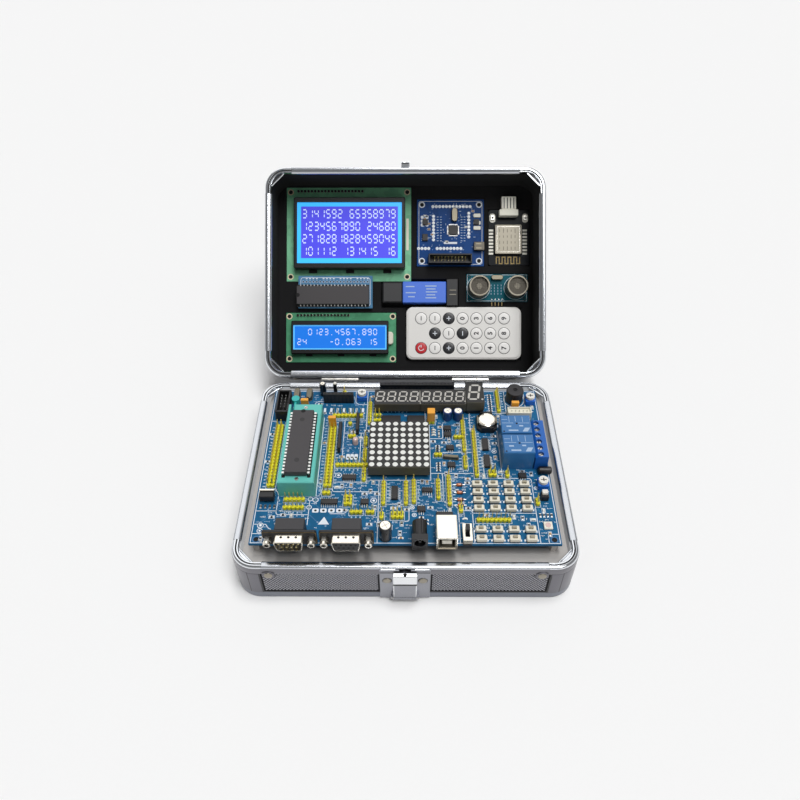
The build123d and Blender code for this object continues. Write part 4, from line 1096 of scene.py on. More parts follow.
# Chip socket, its lever and the microcontroller
dress("zif_socket", socket_turquoise, 0.25)
dress("zif_lever", knob_turquoise, 0.3)
zif_low, zif_high = cad_box("zif_socket", board)
zif_x = (zif_low.x + zif_high.x) / 2
zif = Piece("socket_slots", board, "case_base", "zif_socket")
chip_low, chip_high = cad_box("microcontroller", board)
chip_y = (chip_low.y + chip_high.y) / 2
row_spacing = 15.24
for side in (-1, 1):
    zif.box(at(zif_x + side * 7.6, chip_y, zif_high.z - 0.98), 2.0, 52.0, 0.3, painted_hole_shade, 0.02)
for y in (zif_low.y + 2.6, zif_high.y - 3.6):
    zif.rod(at(zif_x + 0.6, y, zif_high.z - 0.1), 1.25, 0.55, nickel_shell, 0.15, sides=20)
    zif.box(at(zif_x + 0.6, y, zif_high.z + 0.4, 40), 2.0, 0.4, 0.1, painted_hole_shade, 0.02)
zif.done()


def chip_body(piece, place, outline, levels, finish):
    """A moulded chip body, drafted above and below its parting line: levels are insets and heights."""
    piece.loft(place, [[(*point, z) for point in inset(outline, by + 0.001)] for by, z in levels], finish)


def dual_row_chip(piece, place, length, width, height, pins, spacing, foot, leg_width=1.45):
    """A long chip with two rows of legs that bend down at its sides, along Y, from its underside."""
    levels = ((0.35, 0), (0, height * 0.45), (0, height * 0.55), (0.3, height))
    chip_body(piece, place, rectangle(width, length, 0.3), levels, chip_epoxy)
    reach = (spacing - width) / 2 + leg_width / 2
    for side in (-1, 1):
        for y in spaced(pins, pitch):
            shoulder = place @ at(side * (width / 2 + reach / 2 - 0.1), y, height / 2 - 0.15)
            piece.box(shoulder, reach + 0.2, leg_width, 0.28, tin_plate, 0.05)
            leg = place @ at(side * spacing / 2, y, -foot)
            piece.box(leg, 0.3, leg_width - 0.15, foot + height / 2 - 0.1, tin_plate, 0.05)


chip = Piece("microcontroller_chip", board, "case_base", replaces=("microcontroller",))
chip_bottom = zif_high.z + 0.5
dual_row_chip(chip, at(zif_x, chip_y, chip_bottom), 51.0, 13.8, 3.9, 20, row_spacing, 1.4)
chip.rod(at(zif_x, chip_y + 24.3, chip_bottom + 3.82), 1.5, 0.1, painted_hole_shade, 0.02)
for y in (-16.0, 17.0):
    chip.rod(at(zif_x, chip_y + y, chip_bottom + 3.85), 1.6, 0.08, small_epoxy, 0.02)
chip.done()


# Soldered parts
def gull_chip(piece, x, y, length, width, height, lead_pitch=1.27):
    """A surface mounted chip with gull-wing legs along its long sides."""
    turn = 0 if length >= width else 90
    long_side, short_side = max(length, width), min(length, width)
    spot = at(x, y, 0, turn)
    levels = ((0.2, 0.15), (0, height * 0.5), (0, height * 0.6), (0.25, height))
    chip_body(piece, spot, rectangle(long_side, short_side, 0.15), levels, small_epoxy)
    for lead_x in spaced(max(3, int(long_side / lead_pitch)), lead_pitch):
        for side in (-1, 1):
            piece.box(spot @ at(lead_x, side * (short_side / 2 + 0.95), 0), 0.5, 1.1, 0.18, tin_plate, 0.04)
            piece.box(spot @ at(lead_x, side * (short_side / 2 + 0.35), 0.05), 0.42, 0.2, height * 0.55,
                      tin_plate, 0.03)
            piece.box(spot @ at(lead_x, side * (short_side / 2 + 0.1), height * 0.45), 0.42, 0.7, 0.16,
                      tin_plate, 0.03)
    first_pin_mark = spot @ at(-long_side / 2 + 0.9, -short_side / 2 + 0.9, height - 0.04)
    piece.rod(first_pin_mark, 0.35, 0.06, painted_hole_shade, 0.01)


def can_capacitor(piece, x, y, radius, height, sleeve):
    """A radial capacitor: a shrunk sleeve round an aluminium can with a scored top."""
    waist = [(radius - 0.4, 0), (radius, 0.4), (radius, 1.2), (radius - 0.25, 1.6), (radius, 2.0),
             (radius, height - 0.5), (radius - 0.3, height - 0.12), (radius - 0.8, height)]
    piece.lathe(at(x, y), waist, sleeve)
    piece.rod(at(x, y, height - 0.1), radius - 0.7, 0.2, bright_shell, 0.08)
    for turn in (30, 120):
        piece.box(at(x, y, height + 0.08, turn), 2 * radius - 2.4, 0.25, 0.06, rivet_metal, 0.02)


def crystal(piece, x, y, length, width, height, turn):
    """A drawn steel crystal can with round ends and a flange."""
    spot = at(x, y, 0, turn)
    piece.prism(spot, rounded_rectangle(length, width, width / 2 - 0.01, 6), 0.5, crystal_steel, 0.1)
    piece.prism(spot @ at(0, 0, 0.5), rounded_rectangle(length - 0.7, width - 0.7, width / 2 - 0.36, 6),
                height - 0.5, crystal_steel, 0.35)


soldered = Piece("soldered_components", board, "case_base", replaces=("soldered_parts",))
for low, high in islands("soldered_parts", board):
    size = high - low
    if low.z < 0.05 and (1.85 < high.z < 1.95 or 2.35 < high.z < 2.45):
        middle = (low + high) / 2
        gull_chip(soldered, middle.x, middle.y, size.x, size.y, high.z)
crystal(soldered, -74.0, 56.6, 10.0, 4.6, 3.6, 90)
crystal(soldered, -65.5, 56.6, 10.0, 4.6, 3.6, 90)
crystal(soldered, 28.8, 1.6, 10.6, 3.0, 2.6, -6)
for x, y, radius, height, sleeve in ((-56, 58, 2.2, 11, sleeve_black), (-11.2, -57.2, 3.7, 12, sleeve_black),
                                     (28, 36, 3.1, 7.6, sleeve_blue), (34.9, 36, 3.1, 7.6, sleeve_blue)):
    can_capacitor(soldered, x, y, radius, height, sleeve)
# upright power transistor with its cooling tab behind
soldered.box(at(-82.4, -31.6, 2.0), 9.0, 4.2, 4.4, nylon_black, 0.4)
soldered.box(at(-82.4, -28.85, 1.0), 9.0, 1.3, 6.2, bright_shell, 0.25)
for offset in (-pitch, 0, pitch):
    soldered.box(at(-82.4 + offset, -31.8), 0.7, 0.5, 2.4, tin_plate, 0.05)
# upright infrared diode in its black holder
soldered.box(at(-47.5, 57.5), 2.4, 2.4, 11.2, nylon_black, 0.2)
soldered.rod(at(-47.5, 57.5, 11.1), 1.15, 0.9, dial_white, 0.2)
# lying black capsule, light sensor, colour lamp and reset key
capsule = [(1.6, 0), (2.2, 0.4), (2.4, 1.0), (2.4, 7.4), (2.2, 8.0), (1.6, 8.4)]
soldered.lathe(at(82.0, -10.0, 2.6, 90, "Y"), capsule, nylon_black)
lens = [(1.9, 0), (1.9, 3.2), (1.75, 4.0), (1.35, 4.7), (0.6, 5.0)]
soldered.lathe(at(-32.0, 14.0), lens, sensor_pink)
soldered.box(at(83.0, -49.6), 5.0, 5.0, 1.5, lamp_white, 0.2)
soldered.rod(at(83.0, -49.6, 1.45), 1.7, 0.15, sensor_pink, 0.05)
soldered.box(at(83.5, -29.4), 4.6, 4.6, 4.0, nylon_black, 0.3)
soldered.box(at(83.5, -28.6, 4.0), 3.4, 3.0, 2.0, dial_white, 0.25)
# fan plug: an open cream box with five pins
plug_outer = rectangle(15.7, 5.8, 0.3)
soldered.tube(at(75.5, 37.2), plug_outer, inset(plug_outer, 0.8), 7.0, plug_cream, 0.15)
soldered.box(at(75.5, 37.2), 14.6, 4.6, 5.6, plug_cream, 0)
for x in spaced(5, 2.5):
    pin(soldered, at(75.5 + x, 37.2, 5.5), 1.4, tin_plate)
# four glass diodes lying across
glass = [(0.5, 0), (0.95, 0.35), (1.05, 1.0), (1.05, 2.9), (0.95, 3.5), (0.5, 3.9)]
for y in (-20.2, -26.0, -31.3, -35.4):
    soldered.lathe(at(31.1, y, 1.1, 90, "Y"), glass, diode_amber, 16)
    soldered.rod(at(34.0, y, 1.1, 90, "Y"), 1.12, 0.6, small_epoxy, 0.05, sides=16)
    soldered.rod(at(29.4, y, 1.1, 90, "Y"), 0.25, 7.2, tin_plate, 0.02, sides=8)
soldered.done()

# Number displays
BARS = {
    "0": "abcdef", "1": "bc", "2": "abged", "3": "abgcd", "4": "fgbc", "5": "afgcd", "6": "afgedc",
    "7": "abc", "8": "abcdefg", "9": "abcdfg", "-": "g", " ": "",
}


def bar_ends(width, height):
    """The two ends of each of a digit's seven bars."""
    x, y = width / 2, height / 2
    return {
        "a": ((-x, y), (x, y)), "b": ((x, y), (x, 0)), "c": ((x, 0), (x, -y)), "d": ((-x, -y), (x, -y)),
        "e": ((-x, 0), (-x, -y)), "f": ((-x, y), (-x, 0)), "g": ((-x, 0), (x, 0)),
    }


def digit(piece, place, mark, width, height, thick, finish, slant=0.14, rise=0.05):
    """One seven-bar digit, leaning to the right, as separate moulded bars."""
    ends = bar_ends(width, height)
    for bar in BARS[mark]:
        (x1, y1), (x2, y2) = ends[bar]
        start = Vector((x1 + slant * y1, y1))
        end = Vector((x2 + slant * y2, y2))
        way = (end - start).normalized()
        side = Vector((-way.y, way.x)) * thick / 2
        start += way * thick * 0.3
        end -= way * thick * 0.3
        tip = way * thick / 2
        outline = [start, start + tip - side, end - tip - side, end, end - tip + side, start + tip + side]
        piece.prism(place, outline, rise, finish, 0)


displays = Piece("number_displays", board, "case_base", replaces=("digit_displays",))
# two displays of four digits
for x in (-5.3, 25.1):
    displays.box(at(x, 46.7, 2.6), 30.2, 14.0, 7.1, display_body, 0.2)
    displays.box(at(x, 46.7, 9.6), 29.8, 13.6, 0.2, display_face, 0.05)
    for offset in spaced(4, 7.5):
        spot = at(x + offset, 46.9, 9.78)
        digit(displays, spot, "8", 4.6, 8.6, 0.95, segment_grey)
        displays.rod(spot @ at(3.2, -4.5, 0), 0.5, 0.05, segment_grey, 0.01, sides=12)
    for y in (41.2, 52.2):
        for offset in spaced(6, pitch):
            pin(displays, at(x + offset, y), 2.8, tin_plate, 0.5)
edge_line = [(9.9, 52.0), (9.9, 40.2), (40.0, 40.2), (40.0, 52.0)]
displays.stroke(edge_line, 0.3, segment_grey, move=at(0, 0, 9.76))
# one larger digit in its socket
displays.box(at(46.4, 49.2, 3.4), 12.0, 19.0, 8.0, display_body, 0.25)
displays.box(at(46.4, 49.2, 11.3), 11.6, 18.6, 0.2, display_face, 0.05)
digit(displays, at(46.0, 49.2, 11.48), "8", 6.2, 13.0, 1.35, segment_grey, 0.16)
displays.rod(at(51.0, 42.6, 11.48), 0.7, 0.05, segment_grey, 0.01, sides=14)
displays.box(at(46.4, 49.2), 11.2, 18.0, 3.5, nylon_black, 0.2)
displays.done()

# Dot matrix display
dots = Piece("dot_matrix", board, "case_base", replaces=("led_matrix",))
dot_pitch = 4.76
low, high = cad_box("led_matrix", board)
matrix_x, matrix_y = (low.x + high.x) / 2, (low.y + high.y) / 2
dots.box(at(matrix_x, matrix_y, 3.2), 37.7, 37.7, 7.9, display_body, 0.25)
dots.box(at(matrix_x, matrix_y, 11.05), 37.2, 37.2, 0.12, matrix_face, 0.04)
for x in spaced(8, dot_pitch):
    for y in spaced(8, dot_pitch):
        spot = at(matrix_x + x, matrix_y + y, 11.1)
        dots.lathe(spot, [(1.95, 0), (1.95, 0.03), (1.85, 0.06), (1.0, 0.1), (0.3, 0.1)], dot_white, 24)
for y in (-12.0, 12.0):
    for x in spaced(8, pitch):
        pin(dots, at(matrix_x + x, matrix_y + y), 3.4, tin_plate, 0.5)
dots.done()

# Relays with the circuit printed on their lids
dress("relays", relay_blue, 0.3)
relay_print = Piece("relay_print", board, "case_base", "relays")
relay_lines = (
    [(-8.6, 0.6), (-1.5, 0.6)], [(1.5, 0.6), (8.6, 0.6)], [(-4, 6.2), (-4, 1.4)],
    [(4.5, 6.2), (4.5, 1.4)], [(-8.6, 3.6), (-5, 3.6)], [(0, 6.4), (0, 2.0)],
)
leaning = [Vector(p) for p in ((3.6, -6.6), (6.8, -6.6), (8.6, -3.4), (5.4, -3.4))]
for low, high in islands("relays", board):
    here = at((low.x + high.x) / 2, (low.y + high.y) / 2, high.z - 0.02)
    for path in relay_lines:
        relay_print.stroke(path, 0.3, pale_ink, move=here)
    for x, y, width in ((-4.6, -2.2, 3.0), (3.2, -1.8, 2.4), (-2.0, -5.6, 6.0)):
        relay_print.box(here @ at(x, y), width, 1.1, 0.05, pale_ink, 0.01)
    relay_print.prism(here, leaning, 0.05, pale_ink, 0)
    relay_print.rod(here @ at(0.6, 0.2), 0.7, 0.06, painted_hole_shade, 0.01, sides=14)
    relay_print.rod(here @ at(-8.0, -6.4), 0.6, 0.06, painted_hole_shade, 0.01, sides=14)
relay_print.done()
# Screw terminals
dress("terminal_block", terminal_blue, 0.2)
low, high = cad_box("terminal_block", board)
terminal = Piece("terminal_screws", board, "case_base", "terminal_block")
for index, offset in enumerate(spaced(6, 2 * pitch)):
    x = (low.x + high.x) / 2 - 0.6
    y = (low.y + high.y) / 2 + offset
    terminal.rod(at(x, y, high.z - 2.9), 1.75, 1.7, nickel_shell, 0.3, sides=18)
    terminal.box(at(x, y, high.z - 1.22, 20 + 37 * index), 3.0, 0.5, 0.05, painted_hole_shade, 0.01)
    terminal.box(at(high.x - 2.6, y, 2.0), 0.6, 3.2, 3.4, nickel_shell, 0.1)
terminal.done()
# Buzzer
low, high = cad_box("buzzer", board)
buzzer = Piece("buzzer_can", board, "case_base", replaces=("buzzer",))
x, y = (low.x + high.x) / 2, (low.y + high.y) / 2
buzzer_profile = [(5.4, 0), (5.6, 0.3), (5.6, 7.4), (5.8, 7.6), (5.8, 9.4), (5.5, 9.85), (4.9, 10.0),
                  (1.6, 10.0), (1.4, 9.8), (1.25, 9.2), (0.8, 9.1)]
buzzer.lathe(at(x, y), buzzer_profile, buzzer_black, 36)
buzzer.rod(at(x, y, 9.12), 1.1, 0.1, painted_hole_shade, 0.02)
buzzer.done()
# Coin cell in its clip
low, high = cad_box("coin_cell_holder", board)
x, y = (low.x + high.x) / 2, (low.y + high.y) / 2
holder = Piece("coin_cell_clip", board, "case_base", replaces=("coin_cell_holder",))
holder.prism(at(x, y), rectangle(13.2, 15.0, 2.6), 2.6, nylon_black, 0.25)
for side in (-1, 1):
    holder.box(at(x, y + side * 6.9, 2.3), 8.0, 1.2, 2.7, nylon_black, 0.2)
    holder.box(at(x + side * 6.2, y, 2.4), 0.7, 7.0, 3.2, shield_steel, 0.15)
    holder.box(at(x + side * 5.6, y, 5.2), 1.8, 3.6, 0.35, shield_steel, 0.1)
cell_profile = [(5.7, 2.6), (6.1, 2.9), (6.1, 4.9), (5.8, 5.2), (5.35, 5.3), (5.2, 5.5), (4.9, 5.65),
                (0.5, 5.7)]
holder.lathe(at(x, y), cell_profile, bright_shell, 40)
holder.done()

# Connectors on the front edge
# Square data socket: a tinned shell with its tongue inside
low, high = cad_box("usb_socket", board)
usb = Piece("data_socket", board, "case_base", replaces=("usb_socket",))
usb_place = at((low.x + high.x) / 2, low.y, 5.5, -90, "X")
shell = rectangle(12.0, 11.0, 0.5)
usb.tube(usb_place, shell, inset(shell, 0.5), 16.0, bright_shell, 0.15)
usb.box(usb_place @ at(0, 0, 9.0), 11.2, 10.2, 6.6, bright_shell, 0)
mouth = inset(shell, 1.5)
usb.tube(usb_place @ at(0, 0, 0.4), inset(shell, 0.45), mouth, 9.0, shield_steel, 0.05)
usb.box(usb_place @ at(0, 0, 8.6), 9.0, 8.0, 0.6, housing_grey, 0)
usb.box(usb_place @ at(0, 0, 1.0), 5.6, 3.2, 8.0, lamp_white, 0.2)
for side in (-1, 1):
    usb.box(at((low.x + high.x) / 2 + side * 6.0, low.y + 8.0, 2.4), 0.15, 5.0, 2.4, nickel_shell, 0.03)
usb.done()
# Barrel power jack
dress("power_jack", nylon_black, 0.25)
low, high = cad_box("power_jack", board)
jack = Piece("power_jack_pin", board, "case_base", "power_jack")
jack.rod(at((low.x + high.x) / 2, low.y + 1.5, 6.4, -90, "X"), 1.05, 8.0, nickel_shell, 0.3, sides=16)
for offset in (-1.6, 1.6):
    jack.box(at((low.x + high.x) / 2 + offset, low.y + 8.8, 10.45), 0.5, 9.0, 0.2, housing_grey, 0.05)
jack.done()


def d_outline(width, height, radius=1.6, steps=4):
    """The round-cornered D face of a serial connector, wider at its top."""
    slope = height * 0.18
    points = []
    for point in rounded_rectangle(width, height, radius, steps):
        share = (point.y + height / 2) / height
        points.append(Vector((point.x * (1 - 2 * slope / width * (1 - share)), point.y)))
    return points


def serial_port(piece, place, pins):
    """A right angled serial port: moulded housing, plated flange, D shell, jackscrews and contacts."""
    centre = 6.25
    front = place @ at(0, -0.95, centre, 90, "X")
    piece.box(place @ at(0, 4.6), 16.6, 8.0, 12.5, housing_grey, 0.3)
    # the flange in three layers: its body, its plated rim and the dark face inside that rim
    for y, width, height, thick, finish, edge in ((0.6, 30.8, 12.5, 1.6, nylon_black, 0.2),
                                                  (-0.9, 30.2, 11.9, 0.2, flange_gold, 0.05),
                                                  (-1.05, 29.6, 11.2, 0.1, nylon_black, 0.02)):
        layer = place @ at(0, y, centre, 90, "X")
        piece.prism(layer, rounded_rectangle(width, height, 1.2), thick, finish, edge)
    outer = d_outline(17.0, 8.6)
    wall, depth, edge = (0.5, 3.2, 0) if pins else (0.45, 5.5, 0.1)
    piece.tube(front, outer, inset(outer, wall), 5.8, bright_shell, 0.12)
    piece.prism(front, inset(outer, wall + 0.05), depth, nylon_black, edge)
    contact_pitch = 2.76
    for row, count in ((1.4, 5), (-1.4, 4)):
        for x in spaced(count, contact_pitch):
            if pins:
                piece.rod(front @ at(x, row, 0.8), 0.48, 4.4, gold_plate, 0.15, sides=12)
            else:
                piece.rod(front @ at(x, row, 5.45), 0.7, 0.1, painted_hole_shade, 0.01, sides=12)
    for side in (-1, 1):
        screw = place @ at(side * 12.5, -0.9, centre, 90, "X")
        piece.tube(screw, circle(2.45, 6), circle(1.3, 6), 3.0, nickel_shell, 0.2)
        piece.tube(screw @ at(0, 0, 2.9), circle(2.2, 24), circle(1.3, 24), 2.4, bright_shell, 0.35)
        piece.rod(screw @ at(0, 0, 0.1), 1.32, 4.4, painted_hole_shade, 0.05, sides=12)
        piece.box(place @ at(side * 12.5, 3.4), 3.0, 6.0, 1.6, nickel_shell, 0.15)
        for offset in (-1.2, 1.2):
            piece.rod(place @ at(side * 11.8 + offset, 2.4, 1.5), 0.6, 0.5, solder, 0.1, sides=12)
    for x in (-4.2, 0, 4.2):
        piece.rod(place @ at(x, -3.2, centre + 4.26), 0.75, 0.08, painted_hole_shade, 0.01, sides=14)


ports = Piece("serial_connectors", board, "case_base", replaces=("serial_ports",))
port_y = -board_depth / 2 + 0.8
serial_port(ports, at(-65.1, port_y), True)
serial_port(ports, at(-33.0, port_y), False)
ports.done()

# Keys, trimmers and the slide switch
bases = Piece("key_and_trimmer_bases", board, "case_base", replaces=("switch_bases",))
for row in range(6):
    for column in range(4):
        node = f"key_{row + 1}_{column + 1}"
        low, high = cad_box(node, board)
        x, y = (low.x + high.x) / 2, (low.y + high.y) / 2
        bases.box(at(x, y), 5.4, 3.0, 1.2, nylon_black, 0.1)
        outer = rectangle(6.0, 3.6, 0.35)
        slot = rectangle(high.x - low.x + 0.12, high.y - low.y + 0.12, 0.02)
        bases.tube(at(x, y, 1.1), outer, slot, 2.4, key_cream, 0.25)
        for side in (-1, 1):
            bases.box(at(x + side * 3.6, y), 1.1, 1.4, 0.12, solder, 0.02)
            bases.box(at(x + side * 3.15, y, 0.1), 0.3, 0.9, 1.6, tin_plate, 0.04)
        dress(node, plunger_cream, 0.12)
for index in range(3):
    low, high = cad_box(f"trimmer_dial_{index + 1}", board)
    x, y = (low.x + high.x) / 2, (low.y + high.y) / 2
    bases.box(at(x, y), 6.6, 6.6, 4.1, trimmer_blue, 0.3)
    bases.rod(at(x, y, 4.0), 3.1, 0.4, trimmer_blue, 0.1)
    dress(f"trimmer_dial_{index + 1}", dial_white, 0.1)
    arrow = Piece(f"trimmer_slot_{index + 1}", board, f"trimmer_dial_{index + 1}", "trimmer_dial")
    arrow.box(at(x, y, high.z - 0.78), 3.5, 0.62, 0.1, painted_hole_shade, 0.01)
    arrow.box(at(x, y, high.z - 0.02), 0.6, 2.6, 0.05, painted_hole_shade, 0.01)
    arrow.done()
low, high = cad_box("power_switch_knob", board)
switch_x, switch_y = (low.x + high.x) / 2, -board_depth / 2 + 4.9
outer = rectangle(5.6, 12.0, 0.3)
slot = rectangle(high.x - low.x + 0.12, 6.72, 0.02)
bases.tube(at(switch_x, switch_y, 2.2), outer, slot, 3.2, bright_shell, 0.2)
bases.box(at(switch_x, switch_y), 5.2, 11.6, 2.4, nylon_black, 0.1)
bases.done()
dress("power_switch_knob", nylon_black, 0.25)


# Modules in the lid
board_thick = 1.6             # of every module's board
pad_z = board_thick - 0.02    # pads and rings start just under the board's face


def module_place(node, front=None, back=None):
    """The middle of a module's board, at its underside, in the lid."""
    low, high = cad_box(node, lid)
    y = (low.y + high.y) / 2
    if front is not None:
        y = low.y + front
    if back is not None:
        y = high.y - back
    return lid @ at((low.x + high.x) / 2, y, low.z)


def module_board(piece, width, depth, finish, hole_x=0.0, hole_y=0.0, ring_finish=ring_cream):
    """A module's circuit board, with plated rings at its corner holes where it has them."""
    piece.prism(Matrix(), rounded_rectangle(width, depth, 0.4, 3), board_thick, finish, 0.1)
    if hole_x:
        for x in (-hole_x, hole_x):
            for y in (-hole_y, hole_y):
                piece.tube(at(x, y, pad_z), circle(2.3), circle(1.5), 0.1, ring_finish, 0.02)
                piece.rod(at(x, y, 1.56), 1.5, 0.08, painted_hole_shade, 0.01)


def header_holes(piece, count, middle_x, y):
    """A row of plated holes along a display board's upper edge."""
    for offset in spaced(count, pitch):
        piece.prism(at(middle_x + offset, y, pad_z), rounded_rectangle(1.9, 1.9, 0.9, 3), 0.08, lamp_white, 0)
        piece.rod(at(middle_x + offset, y, 1.62), 0.85, 1.2, painted_hole_shade, 0.1, sides=12)


def dotted(piece, place, text, cell_x, cell_y, dot, finish):
    """Numbers drawn in square dots, five wide and seven high, as a dot display shows them."""
    for place_index, mark in enumerate(text):
        spots = set()
        if mark == ".":
            spots.add((2, 0))
        for bar in BARS.get(mark, ""):
            spots |= {
                "a": {(1, 6), (2, 6), (3, 6)}, "b": {(4, 5), (4, 4)}, "c": {(4, 2), (4, 1)},
                "d": {(1, 0), (2, 0), (3, 0)}, "e": {(0, 2), (0, 1)}, "f": {(0, 5), (0, 4)},
                "g": {(1, 3), (2, 3), (3, 3)},
            }[bar]
        for column, row in sorted(spots):
            x = place_index * cell_x + column * dot
            y = row * cell_y / 8
            piece.prism(place @ at(x, y), rectangle(dot * 0.92, cell_y / 8 * 0.92), 0.04, finish, 0)


# Graphic display: green board, black bezel and four rows of lit numbers
graphic = Piece("graphic_module", module_place("graphic_display"), "lid", replaces=("graphic_display",))
# the board in the paler green: painted light
module_board(graphic, 94.0, 71.0, green_mask, 44.0, 32.0, ring_cream)
header_holes(graphic, 20, -14.0, 32.6)
graphic_z = 10.2
bezel = rectangle(83.0, 53.0, 0.8)
window = rectangle(78.0, 45.6, 0.3)
graphic.tube(at(1.0, -0.6, 1.5), bezel, window, graphic_z - 1.5, bezel_steel, 0.5)
graphic.prism(at(1.0, -0.2, graphic_z - 1.2), rectangle(78.2, 45.8), 0.4, screen_cyan, 0)
graphic.prism(at(1.0, -0.2, graphic_z - 0.84), rectangle(72.2, 38.6, 0.2), 0.1, screen_violet, 0)
lines = ("3141592 65358979", "1234567890 24680", "2718281828459045", "101112 131415 16")
for row, text in enumerate(lines):
    dotted(graphic, at(1.0 - 34.8, 10.6 - row * 9.3, graphic_z - 0.76), text, 4.4, 8.0, 0.7, screen_white)
for x in (-28, 0, 28):
    graphic.box(at(1.0 + x, -28.2, 1.5), 6.0, 2.2, 1.2, bezel_steel, 0.2)
    graphic.box(at(1.0 + x, 27.0, 1.5), 6.0, 1.8, 1.2, bezel_steel, 0.2)
graphic.box(at(44.2, 0, 1.55), 2.0, 24.0, 0.3, plug_cream, 0.05)
graphic.done()

# Text display: a smaller board with two rows of lit numbers
text_display = Piece("text_module", module_place("text_display"), "lid", replaces=("text_display",))
module_board(text_display, 83.0, 37.4, deep_green_mask, 39.0, 16.0, ring_cream)
header_holes(text_display, 16, -13.5, 16.9)
text_z = 8.0
bezel = rectangle(72.6, 24.8, 0.6)
text_display.tube(at(-0.4, -0.3, 1.5), bezel, rectangle(69.8, 18.4, 0.3), text_z - 1.5, bezel_steel, 0.5)
text_display.prism(at(-0.4, -0.3, text_z - 1.2), rectangle(70.0, 18.6), 0.4, screen_edge, 0)
text_display.prism(at(-0.4, -0.3, text_z - 0.84), rectangle(67.6, 16.4, 0.2), 0.1, screen_blue, 0)
for row, text in enumerate(("  0123.4567.890 ", "24    -0.063 15")):
    dotted(text_display, at(-32.0, 1.6 - row * 7.4, text_z - 0.76), text, 4.05, 5.6, 0.6, screen_white)
text_display.prism(at(36.9, -0.6, 1.55), rounded_rectangle(5.0, 9.6, 2.2), 3.0, plug_cream, 0.6)
for x in (-24, 0, 24):
    text_display.box(at(x, -13.4, 1.5), 5.0, 1.4, 0.8, bezel_steel, 0.15)
text_display.done()

# Chip adapter: a board on two pin rows, with a long chip lying in its socket
adapter = Piece("adapter_module", module_place("chip_adapter"), "lid", replaces=("chip_adapter",))
adapter.prism(at(0, 0, 2.4), rounded_rectangle(55.6, 24.4, 0.4, 3), board_thick, slate_mask, 0.1)
adapter.stroke(rounded_rectangle(52.0, 21.6, 2.0), 0.35, white_ink, True, move=at(0, 0, 3.99))
for index, x in enumerate(spaced(20, pitch)):
    adapter.box(at(x, -8.0), 2.4, 2.4, 2.4, nylon_black, 0.15)
    adapter.tube(at(x, 7.7, 3.98), circle(1.0, 12), circle(0.62, 12), 0.1, pale_ink, 0.01)
    adapter.rod(at(x, 7.7, 3.96), 0.65, 0.08, painted_hole_shade, 0.01, sides=12)
    if index % 5:
        adapter.box(at(x, 10.0, 4.0), 1.3, 0.7, 0.05, white_ink, 0.01)
adapter.box(at(-1.6, -2.8, 4.0), 54.0, 16.6, 0.5, nylon_black, 0.05)
dual_row_chip(adapter, at(-1.6, -2.8, 4.5, 90), 54.0, 13.8, 3.9, 20, row_spacing + 0.4, 0.5, 0.7)
adapter.rod(at(-27.6, -2.8, 8.32), 1.5, 0.1, painted_hole_shade, 0.02)
adapter.done()

# Programmer: a grey cap, a printed blue sleeve and a black connector
programmer = Piece("programmer_stick", module_place("usb_programmer"), "lid", replaces=("usb_programmer",))
programmer.box(at(-20.6, 0, 0.4), 15.0, 15.4, 8.6, cap_grey, 0.9)
programmer.box(at(3.2, 0), 32.4, 16.0, 9.4, sleeve_royal, 0.5)
programmer.box(at(24.0, 0), 8.6, 20.2, 9.0, nylon_black, 0.4)
for y in (-1.6, 1.6):
    programmer.box(at(24.4, y, 8.94), 5.0, 0.5, 0.12, shield_steel, 0.03)
for x, y, length in ((-7.5, 4.2, 6.5), (-7.0, -0.4, 7.5), (-6.5, -3.4, 5.0), (8.0, 4.6, 8.5), (8.0, 2.4, 7.0),
                     (8.5, 0.2, 8.5), (8.0, -2.0, 6.5), (8.0, -4.2, 8.0)):
    programmer.box(at(x, y, 9.36), length, 0.8, 0.08, pale_ink, 0.02)
programmer.done()

# Converter board: boxed header, rows of plated holes, four-sided chip, crystal and data socket
converter = Piece("converter_module", module_place("converter_board"), "lid", replaces=("converter_board",))
module_board(converter, 50.6, 50.6, royal_mask, 21.5, 21.2, white_ink)
converter.stroke(rounded_rectangle(47.6, 47.6, 1.5), 0.3, white_ink, True, move=at(0, 0, board_thick))
outer = rectangle(32.4, 7.0, 0.2)
converter.tube(at(-0.6, -20.9, 1.5), outer, inset(outer, 0.9), 9.0, nylon_black, 0.15)
converter.box(at(-0.6, -20.9, 1.5), 31.0, 5.6, 2.4, nylon_black, 0)
for x in spaced(10, pitch):
    for y in spaced(2, pitch):
        pin(converter, at(-0.6 + x, -20.9 + y, 3.8), 5.6)
for start_x, start_y, step_x, step_y, count in ((-13.2, 19.9, pitch, 0, 12), (-12.8, -5.2, 0, pitch, 8),
                                                (13.8, -3.0, 0, pitch, 8), (-24.0, -11.8, pitch, 0, 4),
                                                (-10.0, -11.8, pitch, 0, 8)):
    for index in range(count):
        spot = at(start_x + index * step_x, start_y + index * step_y, pad_z)
        converter.tube(spot, circle(1.2, 12), circle(0.4, 12), 0.12, white_ink, 0.02)
        converter.rod(spot, 0.45, 0.5, tin_plate, 0.1, sides=10)
